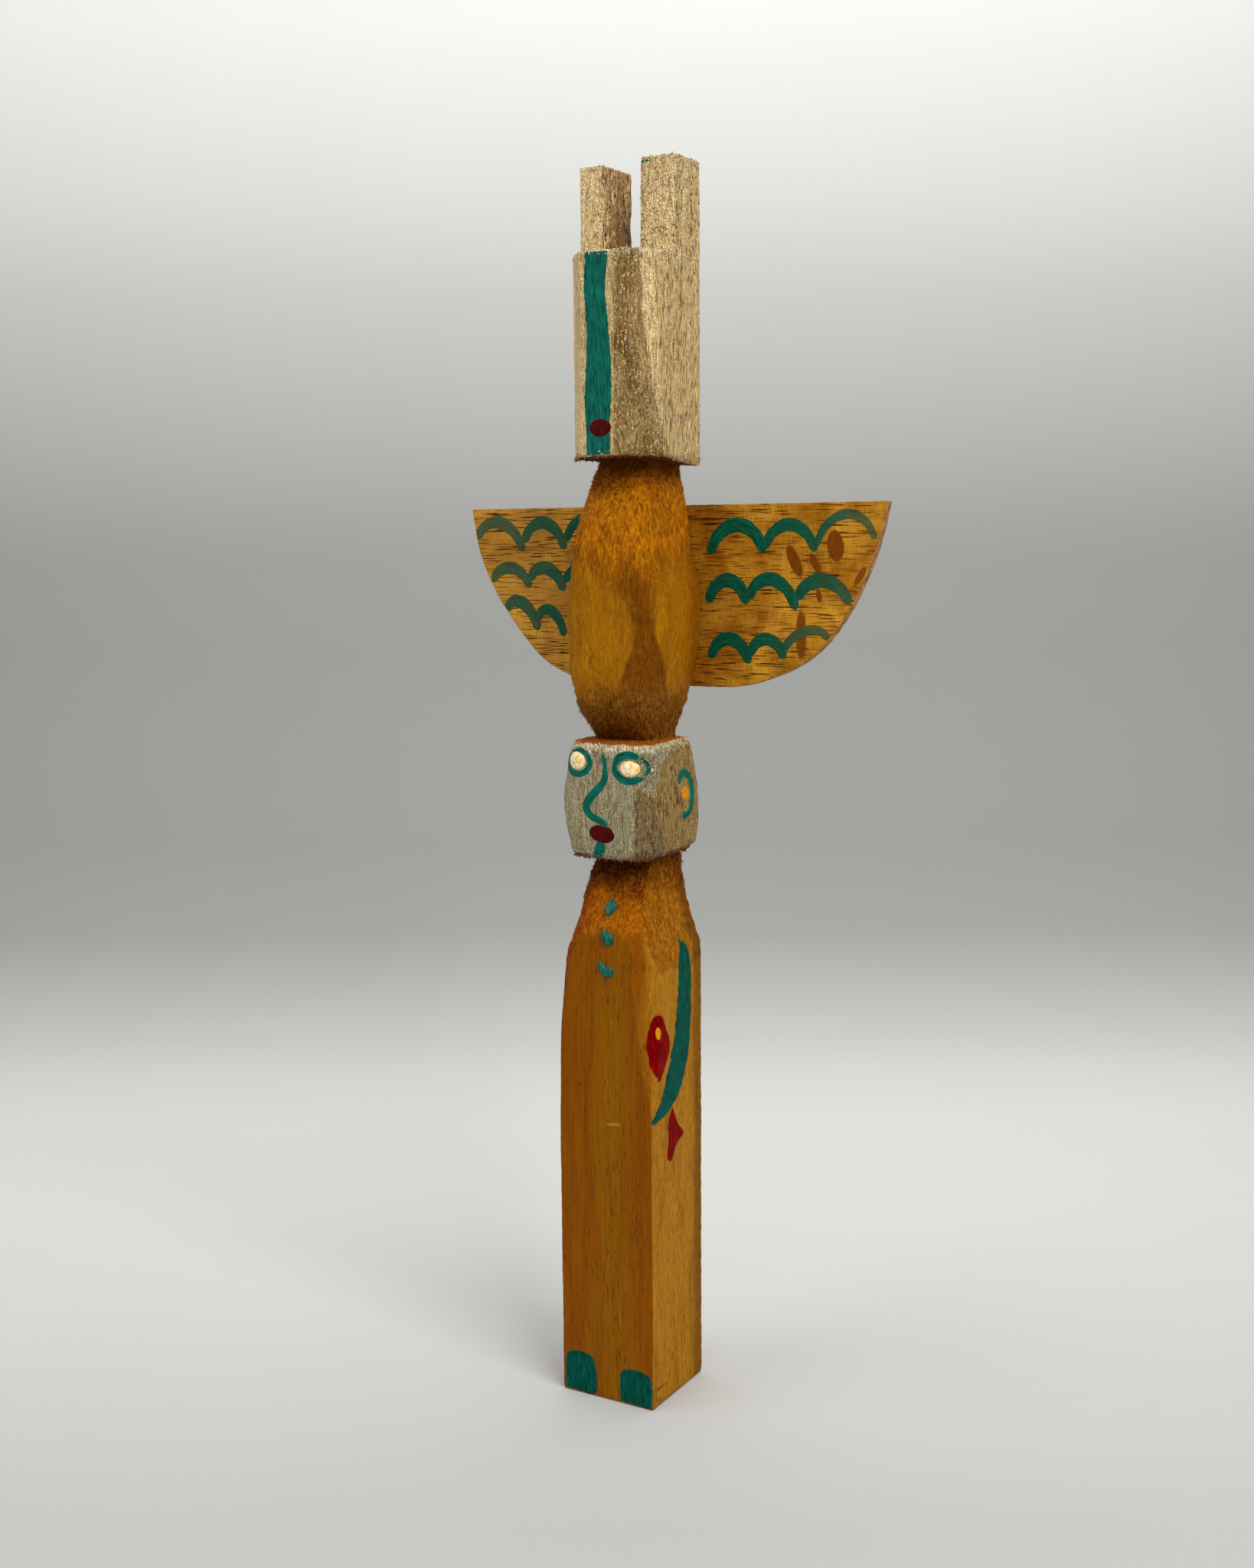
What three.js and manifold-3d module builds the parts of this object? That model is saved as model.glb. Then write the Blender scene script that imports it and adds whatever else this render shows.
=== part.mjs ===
// A small painted totem figure: one square stick, sawn and whittled into a standing figure, a face,
// a winged body and a long-snouted head with two ears, with a flat wing board glued and pinned on
// its back. Millimetres, +Z up. The origin is the middle of the foot, the face looks along -Y.
import * as THREE from "three";
import { mergeVertices } from "three/addons/utils/BufferGeometryUtils.js";
import Module from "manifold-3d";

const wasm = await Module();
wasm.setup();

// Driving dimensions
const STOCK = 25.4; // side of the square stick
const HALF = STOCK / 2;
const CHIN = 135.2; // underside of the lower head
const CROWN = 162.8; // top of the lower head
const SNOUT_BASE = 229.6; // underside of the long-snouted head
const SNOUT_TOP = 275.9; // where the snout ends and the ears go on up
const HEIGHT = 298; // top of the taller ear
const LAP = 1; // how far each carved length runs into the next one before they are joined

const BOARD_THICK = 2.8;
const BOARD_TOP = 218.8;
const BOARD_FOOT = 175.1;
const BOARD_SHIFT = 3; // the wings sit this far to the figure's left of the stick's middle
const GLUE_THICK = 0.3;
const TOUCH = 0.1; // clearance between flat pieces that touch
const BEAD_GAP = 0.3; // clearance under a bead of paint, whose foot follows the carving

const PIN_SHANK_R = 0.55;
const PIN_HEAD_R = 1.1;
const PIN_HEAD_THICK = 0.6;
const PIN_LENGTH = 12;
const PIN_CLEARANCE = 0.1;
const BORE_FLOOR = 0.4; // the hole goes this far past the pin's point
const PIN_X = 0.8;
const PIN_HEIGHTS = { upper: 208, lower: 187 };
const PIN_SIDES = 12;

const BROKEN = 0.3; // the two back corners, hardly broken
const CORNER_STEPS = 6; // straight pieces round each corner of a cross-section
const RING_STEP = 3; // height between two rings of a carved length

// A cross-section of the stick. left, right and front are distances from the stick's middle line,
// rightFront is the right side's distance at its front end. fl and fr are the front corners:
// how much is cut off along the front, how much along the side, and how round the cut is, 0 to 1.
const station = (z, left, right, front, fl, fr, rightFront = right) => ({
  z,
  values: [left, right, front, ...fl, ...fr, rightFront],
});

const EDGE = [0.4, 0.4, 0]; // the stick's own sharp corner, hardly broken
const BODY = [
  station(0, 12.9, HALF - 0.4, HALF - 0.4, EDGE, EDGE),
  station(0.8, 13.2, HALF, HALF, EDGE, EDGE),
  station(62, 13.3, HALF, HALF, EDGE, EDGE),
  station(76, 13.3, HALF, HALF, [0.5, 0.5, 0], [0.9, 0.9, 0]),
  station(88, 13.3, HALF, HALF, [0.8, 0.8, 0.1], [3.4, 3.4, 0.2]),
  station(104, 12.8, HALF, HALF, [2.2, 2.2, 0.4], [4.6, 5, 0.3]),
  station(111, 12.3, 12.6, 12.7, [3, 3, 0.5], [5, 5, 0.4]),
  station(117, 10.8, 10.7, 12.2, [3.6, 3.6, 0.7], [5, 5, 0.6]),
  station(124, 10.3, 8.5, 8.4, [4, 4, 0.8], [4.4, 4.4, 0.8]),
  station(130, 9.6, 7.5, 5, [3.4, 3.4, 0.9], [3.4, 3.4, 0.9]),
  station(CHIN + LAP, 8.7, 6.9, 2, [3, 3, 0.9], [3, 3, 0.9]),
];
const FACE = [
  station(CHIN, 11.1, 9.4, 11.9, [7, 6, 0.8], [4.5, 4.5, 0.3], 10),
  station(137.4, 12.1, 11.4, 12.5, [7, 6, 0.8], [4.6, 4.6, 0.2], 11.6),
  station(145, 12.5, 12.1, HALF, [4, 4, 0.8], [4.6, 4.6, 0.1], 12.4),
  station(150, 12.7, 11.9, HALF, [3.6, 3.6, 0.8], [4.6, 4.6, 0.1], 12.5),
  station(155.5, 12.5, 11.1, HALF, [5.7, 5.7, 0.8], [4.4, 4.4, 0.1], 12.4),
  station(160.5, 12.4, 9.9, 12.6, [8, 7, 0.8], [3.6, 3.6, 0.2], 12),
  station(CROWN, 12, 9, 12.4, [10.5, 8, 0.7], [3.2, 3.2, 0.3], 11.6),
];
const BREAST = [
  station(CROWN - LAP, 9.6, 5.8, 0.3, [2.5, 2.5, 0.9], [2.5, 2.5, 0.9]),
  station(164, 10, 5.9, 2.4, [4, 4, 0.9], [3.4, 3.4, 0.9]),
  station(168, 10.9, 7.3, 7, [7, 7, 0.9], [5.6, 5.6, 0.9]),
  station(172, 11.5, 8.9, 10.2, [7.4, 7.4, 0.9], [6.6, 6.6, 0.9]),
  station(177, 12, 10.3, 12, [7.4, 7.4, 0.9], [7, 7, 0.9]),
  station(183, 12.5, 11.7, 12.6, [7.4, 7.4, 0.9], [7.4, 7.4, 0.9]),
  station(190, 12.6, 12.5, HALF, [7.4, 7.4, 0.9], [7.6, 7.6, 0.9]),
  station(198, 12.4, 12.6, HALF, [8.6, 8.6, 0.9], [8, 8, 0.9]),
  station(205, 11.9, 11.2, 12.4, [8.8, 8.8, 0.9], [8, 8, 0.9]),
  station(212, 10.9, 9.8, 11.4, [7.4, 7.4, 0.9], [7, 7, 0.9]),
  station(218, 9.6, 9, 9.2, [7, 7, 0.9], [6.4, 6.4, 0.9]),
  station(224, 8.8, 7.7, 5.4, [5, 5, 0.9], [5, 5, 0.9]),
  station(SNOUT_BASE + LAP, 7.9, 7, 1, [2.5, 2.5, 0.9], [2.5, 2.5, 0.9]),
];
const SNOUT = [
  station(SNOUT_BASE, HALF, HALF, HALF, [7.7, 9.5, 0.1], [8.7, 8.2, 0]),
  station(239, HALF, HALF, HALF, [7.7, 9.5, 0.1], [8.7, 6.6, 0.1]),
  station(247, HALF, HALF, HALF, [7.7, 9.5, 0.1], [8.7, 5.4, 0.4]),
  station(257, HALF, HALF, HALF, [7.7, 9.5, 0.1], [8.8, 7, 0.6]),
  station(SNOUT_TOP, HALF, HALF, HALF, [7.7, 9.5, 0.2], [9.1, 12, 0.8]),
];

// The ears are the back half of the stick, with a notch sawn and split out between them.
// Each is a plan outline at the foot and at the tip, [x, y] going round anticlockwise.
const EARS = [
  {
    tip: HEIGHT,
    plan: [
      [3.4, 0.1],
      [HALF, 0],
      [HALF, HALF],
      [3, HALF],
    ],
    lean: 0.6,
  },
  {
    tip: HEIGHT - 0.7,
    plan: [
      [-HALF, 0],
      [-6.4, 0.1],
      [-5.9, HALF],
      [-HALF, HALF],
    ],
    lean: 0.2,
  },
];

// Half outline of each wing from its tip to the middle of the board: [distance out, height].
const RIGHT_WING = [
  [57.4, BOARD_TOP],
  [54.5, 207.3],
  [48, 193.6],
  [43.2, 187],
  [38.5, 182.7],
  [28.4, 177.8],
  [16, BOARD_FOOT],
  [0, BOARD_FOOT],
];
const LEFT_WING = [
  [57.4, BOARD_TOP],
  [55.4, 208],
  [49.7, 196.4],
  [42.3, 186.6],
  [36.4, 181],
  [28.2, 176.9],
  [15, BOARD_FOOT],
  [0, BOARD_FOOT],
];

// Beads of thick paint: buttons down the chest, and the whites of the two eyes.
// x and z are where each one sits, seen straight on; how far back the wood is there is found.
const BEADS = {
  button_upper: { x: -0.4, z: 123, width: 3, height: 3.7, thick: 0.9, color: "teal" },
  button_middle: { x: 0.3, z: 116.3, width: 3.6, height: 3.9, thick: 0.9, color: "teal" },
  button_lower: { x: 0.2, z: 108.8, width: 4.3, height: 3.7, thick: 0.9, color: "teal" },
  eye_left: { x: 7.2, z: 157.3, width: 4.9, height: 3.8, thick: 0.9, color: "cream" },
  eye_right: { x: -7.8, z: 158.5, width: 5, height: 3.9, thick: 0.9, color: "cream" },
};

const MATERIALS = {
  stick: { color: 0xb4701c, roughness: 0.7, metalness: 0 },
  board: { color: 0xb07a3c, roughness: 0.6, metalness: 0 },
  glue: { color: 0xcbb68a, roughness: 0.4, metalness: 0 },
  pin: { color: 0x8d8d8a, roughness: 0.35, metalness: 1 },
  teal: { color: 0x0d6b5c, roughness: 0.35, metalness: 0 },
  cream: { color: 0xf0dfa8, roughness: 0.4, metalness: 0 },
};

// A point on a corner cut: the straight cut from a to b, pulled out towards the corner by round.
function cornerPoints(a, corner, b, round) {
  const middle = a.clone().lerp(b, 0.5).lerp(corner, round);
  return new THREE.QuadraticBezierCurve(a, middle, b).getPoints(CORNER_STEPS);
}

// The outline of a cross-section, anticlockwise from the back left corner.
function outline([left, right, front, flX, flY, flRound, frX, frY, frRound, rightFront]) {
  const at = (x, y) => new THREE.Vector2(x, y);
  return [
    at(-left, HALF - BROKEN),
    ...cornerPoints(at(-left, -front + flY), at(-left, -front), at(-left + flX, -front), flRound),
    ...cornerPoints(
      at(rightFront - frX, -front),
      at(rightFront, -front),
      at(rightFront, -front + frY),
      frRound,
    ),
    at(right, HALF - BROKEN),
    at(right - BROKEN, HALF),
    at(-left + BROKEN, HALF),
  ];
}

// The values of a list of stations at one height, along smooth curves that don't overshoot.
function valuesAt(stations, z) {
  const k = Math.max(1, stations.findIndex((s, i) => i > 0 && z <= s.z + 1e-9));
  const [before, from, to, after] = [k - 2, k - 1, k, k + 1].map(
    (i) => stations[THREE.MathUtils.clamp(i, 0, stations.length - 1)],
  );
  const span = to.z - from.z;
  const t = (z - from.z) / span;
  return from.values.map((v, i) => {
    const slope = (p, q) => (q.z > p.z ? (q.values[i] - p.values[i]) / (q.z - p.z) : 0);
    const here = slope(from, to);
    const flat = (other) => (here * other <= 0 ? 0 : (2 * here * other) / (here + other));
    const start = flat(slope(before, from)) * span;
    const end = flat(slope(to, after)) * span;
    const [t2, t3] = [t * t, t * t * t];
    return (
      v * (2 * t3 - 3 * t2 + 1) +
      start * (t3 - 2 * t2 + t) +
      to.values[i] * (3 * t2 - 2 * t3) +
      end * (t3 - t2)
    );
  });
}

// A closed skin over the rings of a carved length, with flat ends.
function loft(stations) {
  const levels = [];
  stations.slice(1).forEach((to, k) => {
    const from = stations[k];
    const steps = Math.max(1, Math.round((to.z - from.z) / (from.z < 60 ? 30 : RING_STEP)));
    for (let i = 0; i < steps; i++) levels.push(from.z + ((to.z - from.z) * i) / steps);
  });
  levels.push(stations[stations.length - 1].z);
  const rings = levels.map((z) =>
    outline(valuesAt(stations, z)).map((p) => new THREE.Vector3(p.x, p.y, z)),
  );
  const count = rings[0].length;
  const positions = rings.flat().flatMap((p) => [p.x, p.y, p.z]);
  const triangles = [];
  for (let r = 0; r + 1 < rings.length; r++)
    for (let i = 0; i < count; i++) {
      const [a, b] = [r * count + i, r * count + ((i + 1) % count)];
      triangles.push(a, b, b + count, a, b + count, a + count);
    }
  const cap = (ring, start, up) => {
    const faces = THREE.ShapeUtils.triangulateShape(
      ring.map((p) => new THREE.Vector2(p.x, p.y)),
      [],
    );
    for (const [a, b, c] of faces)
      triangles.push(start + a, ...(up ? [start + b, start + c] : [start + c, start + b]));
  };
  cap(rings[0], 0, false);
  cap(rings[rings.length - 1], (rings.length - 1) * count, true);
  return new THREE.BufferGeometry()
    .setAttribute("position", new THREE.Float32BufferAttribute(positions, 3))
    .setIndex(triangles);
}

// three.js geometry to a manifold-3d solid, and back.
function toSolid(geometry) {
  const bare = geometry.index ? geometry.toNonIndexed() : geometry.clone();
  bare.deleteAttribute("normal");
  bare.deleteAttribute("uv");
  const merged = mergeVertices(bare, 1e-4);
  return new wasm.Manifold(
    new wasm.Mesh({
      numProp: 3,
      vertProperties: merged.attributes.position.array,
      triVerts: new Uint32Array(merged.index.array),
    }),
  );
}

function toGeometry(solid) {
  const mesh = solid.getMesh();
  const made = new THREE.BufferGeometry()
    .setAttribute("position", new THREE.Float32BufferAttribute(mesh.vertProperties, 3))
    .setIndex(new THREE.BufferAttribute(mesh.triVerts, 1));
  made.computeVertexNormals();
  return made;
}

function ear({ tip, plan, lean }) {
  const shape = new THREE.Shape(plan.map(([x, y]) => new THREE.Vector2(x, y)));
  const foot = SNOUT_TOP - LAP;
  const made = new THREE.ExtrudeGeometry(shape, { depth: tip - foot, bevelEnabled: false });
  made.translate(0, 0, foot);
  const place = made.attributes.position;
  // the inner side of each ear leans away from the notch towards its tip
  for (let i = 0; i < place.count; i++) {
    const up = (place.getZ(i) - foot) / (tip - foot);
    const inner = Math.abs(place.getX(i)) < HALF - 0.1;
    if (inner) place.setX(i, place.getX(i) + up * lean * Math.sign(place.getX(i)));
  }
  return made;
}

// The hole for a pin, along Y, from behind the board to its point in the stick.
function pinHole(z) {
  const bore = new THREE.CylinderGeometry(
    PIN_SHANK_R + PIN_CLEARANCE,
    PIN_SHANK_R + PIN_CLEARANCE,
    2 * PIN_LENGTH,
    PIN_SIDES,
  );
  bore.translate(PIN_X, boardBack - BORE_FLOOR, z);
  return toSolid(bore);
}

const boardFront = HALF + GLUE_THICK + 2 * TOUCH;
const boardBack = boardFront + BOARD_THICK;

function stick() {
  const lengths = [BODY, FACE, BREAST, SNOUT].map((s) => toSolid(loft(s)));
  const carved = [...lengths, ...EARS.map((e) => toSolid(ear(e)))].reduce((a, b) => a.add(b));
  const drilled = Object.values(PIN_HEIGHTS).reduce((s, z) => s.subtract(pinHole(z)), carved);
  return toGeometry(drilled);
}

// A plate of an outline given as [x, z], standing upright from front to back along Y.
function plate(shape, front, thick) {
  const made = new THREE.ExtrudeGeometry(shape, {
    depth: thick,
    bevelEnabled: false,
    curveSegments: 40,
  });
  made.rotateX(Math.PI / 2);
  made.translate(0, front + thick, 0);
  return made;
}

function wingBoard() {
  const side = (points, way) =>
    points.map(([out, z]) => new THREE.Vector2(BOARD_SHIFT + way * out, z));
  const shape = new THREE.Shape();
  const right = side(RIGHT_WING, 1);
  const left = side(LEFT_WING, -1).reverse();
  shape.moveTo(right[0].x, right[0].y);
  shape.splineThru([...right.slice(1), ...left.slice(1)]);
  shape.closePath();
  const board = toSolid(plate(shape, boardFront, BOARD_THICK));
  return toGeometry(Object.values(PIN_HEIGHTS).reduce((s, z) => s.subtract(pinHole(z)), board));
}

// Dried glue between the stick's flat back and the board, as wide as the stick is there.
function glueFilm() {
  const [low, high, step] = [BOARD_FOOT + 1.4, BOARD_TOP - 1, 4];
  const edge = (side) => {
    const points = [];
    for (let z = low; z <= high + 1e-6; z += (high - low) / Math.round((high - low) / step)) {
      const [left, right] = valuesAt(BREAST, z);
      points.push(new THREE.Vector2(side > 0 ? right - 0.5 : -left + 0.5, z));
    }
    return points;
  };
  const shape = new THREE.Shape([...edge(1), ...edge(-1).reverse()]);
  const film = toSolid(plate(shape, HALF + TOUCH, GLUE_THICK));
  return toGeometry(Object.values(PIN_HEIGHTS).reduce((s, z) => s.subtract(pinHole(z)), film));
}

function pin(z) {
  const profile = [
    [0, 0],
    [PIN_SHANK_R, 1.4],
    [PIN_SHANK_R, PIN_LENGTH],
    [PIN_HEAD_R, PIN_LENGTH],
    [PIN_HEAD_R, PIN_LENGTH + 0.6 * PIN_HEAD_THICK],
    [0, PIN_LENGTH + PIN_HEAD_THICK],
  ].map(([r, h]) => new THREE.Vector2(r, h));
  const made = new THREE.LatheGeometry(profile, PIN_SIDES);
  made.translate(PIN_X, boardBack - PIN_LENGTH + TOUCH, z);
  return made;
}

// A flattened ball centred on the wood's surface, less everything the wood fills.
function bead({ x, z, width, height, thick }, wood) {
  const mesh = new THREE.Mesh(wood);
  const forward = new THREE.Vector3(0, 1, 0);
  const hit = new THREE.Raycaster(new THREE.Vector3(x, -STOCK, z), forward).intersectObject(mesh)[0];
  const ball = new THREE.SphereGeometry(1, 20, 10);
  ball.scale(width / 2, thick, height / 2);
  const turn = new THREE.Quaternion().setFromUnitVectors(
    forward.clone().negate(),
    hit.face.normal,
  );
  ball.applyQuaternion(turn);
  ball.translate(...hit.point);
  const grown = wood.clone().translate(...hit.face.normal.clone().multiplyScalar(BEAD_GAP));
  return toGeometry(toSolid(ball).subtract(toSolid(grown)));
}

const totem = new THREE.Group();
function put(name, geometry, material) {
  const mesh = new THREE.Mesh(geometry, new THREE.MeshStandardMaterial(MATERIALS[material]));
  mesh.name = name;
  totem.add(mesh);
}

const wood = stick();
put("carved_stick", wood, "stick");
put("wing_board", wingBoard(), "board");
put("glue_film", glueFilm(), "glue");
for (const [which, z] of Object.entries(PIN_HEIGHTS)) put(`panel_pin_${which}`, pin(z), "pin");
for (const [name, spec] of Object.entries(BEADS))
  put(`paint_bead_${name}`, bead(spec, wood), spec.color);

export default totem;
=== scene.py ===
import math

import bmesh
import bpy
from mathutils import Matrix, Vector, noise
from mathutils.bvhtree import BVHTree


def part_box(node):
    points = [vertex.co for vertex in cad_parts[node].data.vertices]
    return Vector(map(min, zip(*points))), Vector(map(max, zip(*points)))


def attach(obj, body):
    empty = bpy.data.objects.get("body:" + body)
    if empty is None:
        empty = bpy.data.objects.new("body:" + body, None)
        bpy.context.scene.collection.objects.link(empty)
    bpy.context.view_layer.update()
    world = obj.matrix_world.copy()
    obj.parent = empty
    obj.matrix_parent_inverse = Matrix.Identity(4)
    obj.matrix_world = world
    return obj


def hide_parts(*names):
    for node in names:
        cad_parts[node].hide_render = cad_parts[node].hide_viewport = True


# A small painted totem figure, carved from one square stick, with a plywood wing board on its back.
# Lists of sizes and places are in millimetres and everything is made in metres, in the CAD frame:
# +Z up, the face looks along -Y, +X is the figure's left.

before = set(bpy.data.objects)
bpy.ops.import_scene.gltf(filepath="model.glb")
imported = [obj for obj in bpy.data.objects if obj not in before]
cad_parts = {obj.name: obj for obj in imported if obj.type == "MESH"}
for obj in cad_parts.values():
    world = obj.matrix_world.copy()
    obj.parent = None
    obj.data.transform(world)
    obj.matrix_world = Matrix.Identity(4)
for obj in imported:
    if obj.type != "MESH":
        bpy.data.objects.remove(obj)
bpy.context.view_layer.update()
mm = 0.001
stickLow, stickHigh = (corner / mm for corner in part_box("carved_stick"))
boardLow, boardHigh = (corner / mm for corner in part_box("wing_board"))
half = stickHigh.x  # half the stick's side
up = Vector((0, 0, 1))


# Small helpers.

def linear(red, green, blue):  # a colour as a painter's chart gives it, 0 to 255, made linear
    return [((c / 255 + 0.055) / 1.055) ** 2.4 if c > 10 else c / 3295 for c in (red, green, blue)]


def blend(a, b, t):
    return [x + (y - x) * t for x, y in zip(a, b)]


def ramp(low, high, value):  # 0 below low, 1 above high, smooth between
    t = min(1, max(0, (value - low) / (high - low)))
    return t * t * (3 - 2 * t)


def hill(middle, spread, value):  # 1 at middle, falling to 0 at spread away from it
    return 1 - ramp(0, spread, abs(value - middle))


def lumps(point, size, seed=0):  # smooth noise from -1 to 1, with lumps of about this size
    return noise.noise(Vector([p / s for p, s in zip(point, size)]) + Vector((seed, 7.3 * seed, 3.1)))


def knifeCuts(point, size, seed=0):  # shallow hollows with ridges between them, from about -0.5 to 0.5
    near = noise.voronoi(Vector([p / s for p, s in zip(point, size)]) + Vector((seed, seed, seed)))[0][0]
    return near * near - 0.5


def makeObject(name, verts, faces, materials, slots=None, attributes=None, sharp=38):
    mesh = bpy.data.meshes.new(name)
    mesh.from_pydata([Vector(v) * mm for v in verts], [], faces)
    for material in materials:
        mesh.materials.append(material)
    if slots:
        mesh.polygons.foreach_set("material_index", slots)
    for label, values in (attributes or {}).items():
        if isinstance(values[0], (int, float)):
            mesh.attributes.new(label, "FLOAT", "POINT").data.foreach_set("value", values)
        elif len(values[0]) == 2:
            layer = mesh.uv_layers.new(name=label)
            for loop in mesh.loops:
                layer.data[loop.index].uv = values[loop.vertex_index]
        else:
            flat = [c for colour in values for c in (*colour, 1)]
            mesh.attributes.new(label, "FLOAT_COLOR", "POINT").data.foreach_set("color", flat)
    mesh.validate()
    mesh.shade_smooth()
    if sharp:
        mesh.set_sharp_from_angle(angle=math.radians(sharp))
    made = bpy.data.objects.new(name, mesh)
    bpy.context.collection.objects.link(made)
    return made


def shellFaces(rings, count):  # walls between rings of count points, and both ends
    faces = []
    for k in range(rings - 1):
        for i in range(count):
            j = (i + 1) % count
            faces.append((k * count + i, k * count + j, (k + 1) * count + j, (k + 1) * count + i))
    return faces + [tuple(range(count))[::-1], tuple(range((rings - 1) * count, rings * count))]


def closeShell(made):  # points the faces outwards and splits those with more than four corners
    work = bmesh.new()
    work.from_mesh(made.data)
    bmesh.ops.recalc_face_normals(work, faces=work.faces)
    bmesh.ops.triangulate(work, faces=[f for f in work.faces if len(f.verts) > 4])
    work.to_mesh(made.data)
    work.free()
    return made


def settle(piece, slotName, *stoodFor):  # attaches a finished piece to the root and hides the parts it stands for
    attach(piece, "root")
    if stoodFor:
        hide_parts(*stoodFor)


# Shader parts.

def addNode(tree, kind, inputs=None, **settings):
    node = tree.nodes.new(kind)
    for key, value in settings.items():
        setattr(node, key, value)
    for key, value in (inputs or {}).items():
        if isinstance(value, bpy.types.NodeSocket):
            tree.links.new(value, node.inputs[key])
        else:
            socket = node.inputs[key]
            isColour = isinstance(value, (list, tuple)) and len(value) == 3 and len(socket.default_value) == 4
            socket.default_value = (*value, 1) if isColour else value
    return node


def sums(tree, operation, *values, clamp=False):
    node = addNode(tree, "ShaderNodeMath", dict(enumerate(values)), operation=operation, use_clamp=clamp)
    return node.outputs[0]


def times(tree, a, b, **settings):
    return sums(tree, "MULTIPLY", a, b, **settings)


def plus(tree, a, b, **settings):
    return sums(tree, "ADD", a, b, **settings)


def minus(tree, a, b, **settings):
    return sums(tree, "SUBTRACT", a, b, **settings)


def mixed(tree, factor, a, b, kind="MIX"):
    node = addNode(tree, "ShaderNodeMix", {0: factor, 6: a, 7: b}, data_type="RGBA", blend_type=kind)
    return node.outputs[2]


def tinted(tree, tint, colour):
    return mixed(tree, 1.0, tint, colour, "MULTIPLY")


def spread(tree, value, low, high, outLow=0.0, outHigh=1.0):
    node = addNode(tree, "ShaderNodeMapRange", {0: value, 1: low, 2: high, 3: outLow, 4: outHigh})
    return node.outputs[0]


def stretched(tree, position, factors):
    node = addNode(tree, "ShaderNodeVectorMath", {0: position, 1: factors}, operation="MULTIPLY")
    return node.outputs[0]


def scaled(tree, vector, factor):
    node = addNode(tree, "ShaderNodeVectorMath", {0: vector, "Scale": factor}, operation="SCALE")
    return node.outputs[0]


def noisy(tree, position, scale, detail=2.0, roughness=0.5, distortion=0.0):
    inputs = {"Vector": position, "Scale": scale, "Detail": detail, "Roughness": roughness}
    inputs["Distortion"] = distortion
    return addNode(tree, "ShaderNodeTexNoise", inputs).outputs["Fac"]


def shaderGroup(name, inputs, outputs):
    tree = bpy.data.node_groups.new(name, "ShaderNodeTree")
    kinds = {"f": "NodeSocketFloat", "v": "NodeSocketVector", "c": "NodeSocketColor"}
    for label, kind, value in inputs:
        socket = tree.interface.new_socket(name=label, in_out="INPUT", socket_type=kinds[kind])
        if value is not None:
            socket.default_value = value
    for label, kind in outputs:
        tree.interface.new_socket(name=label, in_out="OUTPUT", socket_type=kinds[kind])
    return tree, tree.nodes.new("NodeGroupInput").outputs, tree.nodes.new("NodeGroupOutput").inputs


# Grain that runs along the position's Z, in millimetres: fine fibres, and the dark dashes of open pores.
def makeGrainGroup():
    tree, given, out = shaderGroup(
        "runningGrain",
        [("Position", "v", None), ("Pore Length", "f", 3.0), ("Pore Share", "f", 0.5)],
        [("Fibre", "f"), ("Pores", "f"), ("Height", "f")],
    )
    wander = noisy(tree, stretched(tree, given["Position"], (1, 1, 0.3)), 0.09, 2)
    bent = addNode(tree, "ShaderNodeVectorMath", {0: given["Position"]}, operation="ADD")
    shift = addNode(tree, "ShaderNodeCombineXYZ", {"X": times(tree, wander, 2.2), "Y": wander})
    tree.links.new(shift.outputs[0], bent.inputs[1])
    coarse = noisy(tree, stretched(tree, bent.outputs[0], (1, 1, 0.05)), 0.9, 5, 0.7)
    fine = noisy(tree, stretched(tree, bent.outputs[0], (1, 1, 0.045)), 3.6, 3, 0.6)
    fibre = plus(tree, times(tree, coarse, 0.55), times(tree, fine, 0.45))
    squeeze = sums(tree, "DIVIDE", 0.36, given["Pore Length"])
    along = addNode(tree, "ShaderNodeCombineXYZ", {"X": 1.0, "Y": 1.0, "Z": squeeze}).outputs[0]
    dashes = noisy(tree, stretched(tree, bent.outputs[0], along), 2.6, 1, 0.4)
    bands = noisy(tree, stretched(tree, bent.outputs[0], (1, 1, 0.12)), 0.22, 2)
    bar = minus(tree, 0.80, times(tree, given["Pore Share"], 0.22))
    bar = minus(tree, bar, times(tree, minus(tree, bands, 0.5), 0.25))
    over = minus(tree, dashes, bar)
    pores = times(tree, over, 22.0, clamp=True)
    tree.links.new(spread(tree, fibre, 0.3, 0.7), out["Fibre"])
    tree.links.new(pores, out["Pores"])
    tree.links.new(minus(tree, fibre, times(tree, pores, 0.55)), out["Height"])
    return tree


# Small bright and dark grains, as metallic craft paint dries over fuzzy wood.
def makeFlakeGroup():
    tree, given, out = shaderGroup(
        "metalFlakes",
        [("Position", "v", None), ("Grain Size", "f", 0.3), ("Share", "f", 0.3)],
        [("Flakes", "f"), ("Mottle", "f"), ("Height", "f")],
    )
    scale = sums(tree, "DIVIDE", 1.0, given["Grain Size"])
    soft = stretched(tree, given["Position"], (1, 1, 0.6))
    grain = noisy(tree, soft, scale, 2, 0.7)
    cells = addNode(tree, "ShaderNodeTexVoronoi", {"Vector": soft, "Scale": times(tree, scale, 0.8)})
    pick = addNode(tree, "ShaderNodeSeparateColor", {0: cells.outputs["Color"]}).outputs[0]
    bar = minus(tree, 1.0, given["Share"])
    chosen = times(tree, minus(tree, pick, bar), 6.0, clamp=True)
    core = spread(tree, cells.outputs["Distance"], 0.45, 0.15)
    tree.links.new(times(tree, chosen, core), out["Flakes"])
    tree.links.new(spread(tree, grain, 0.32, 0.68), out["Mottle"])
    tree.links.new(grain, out["Height"])
    return tree


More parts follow.
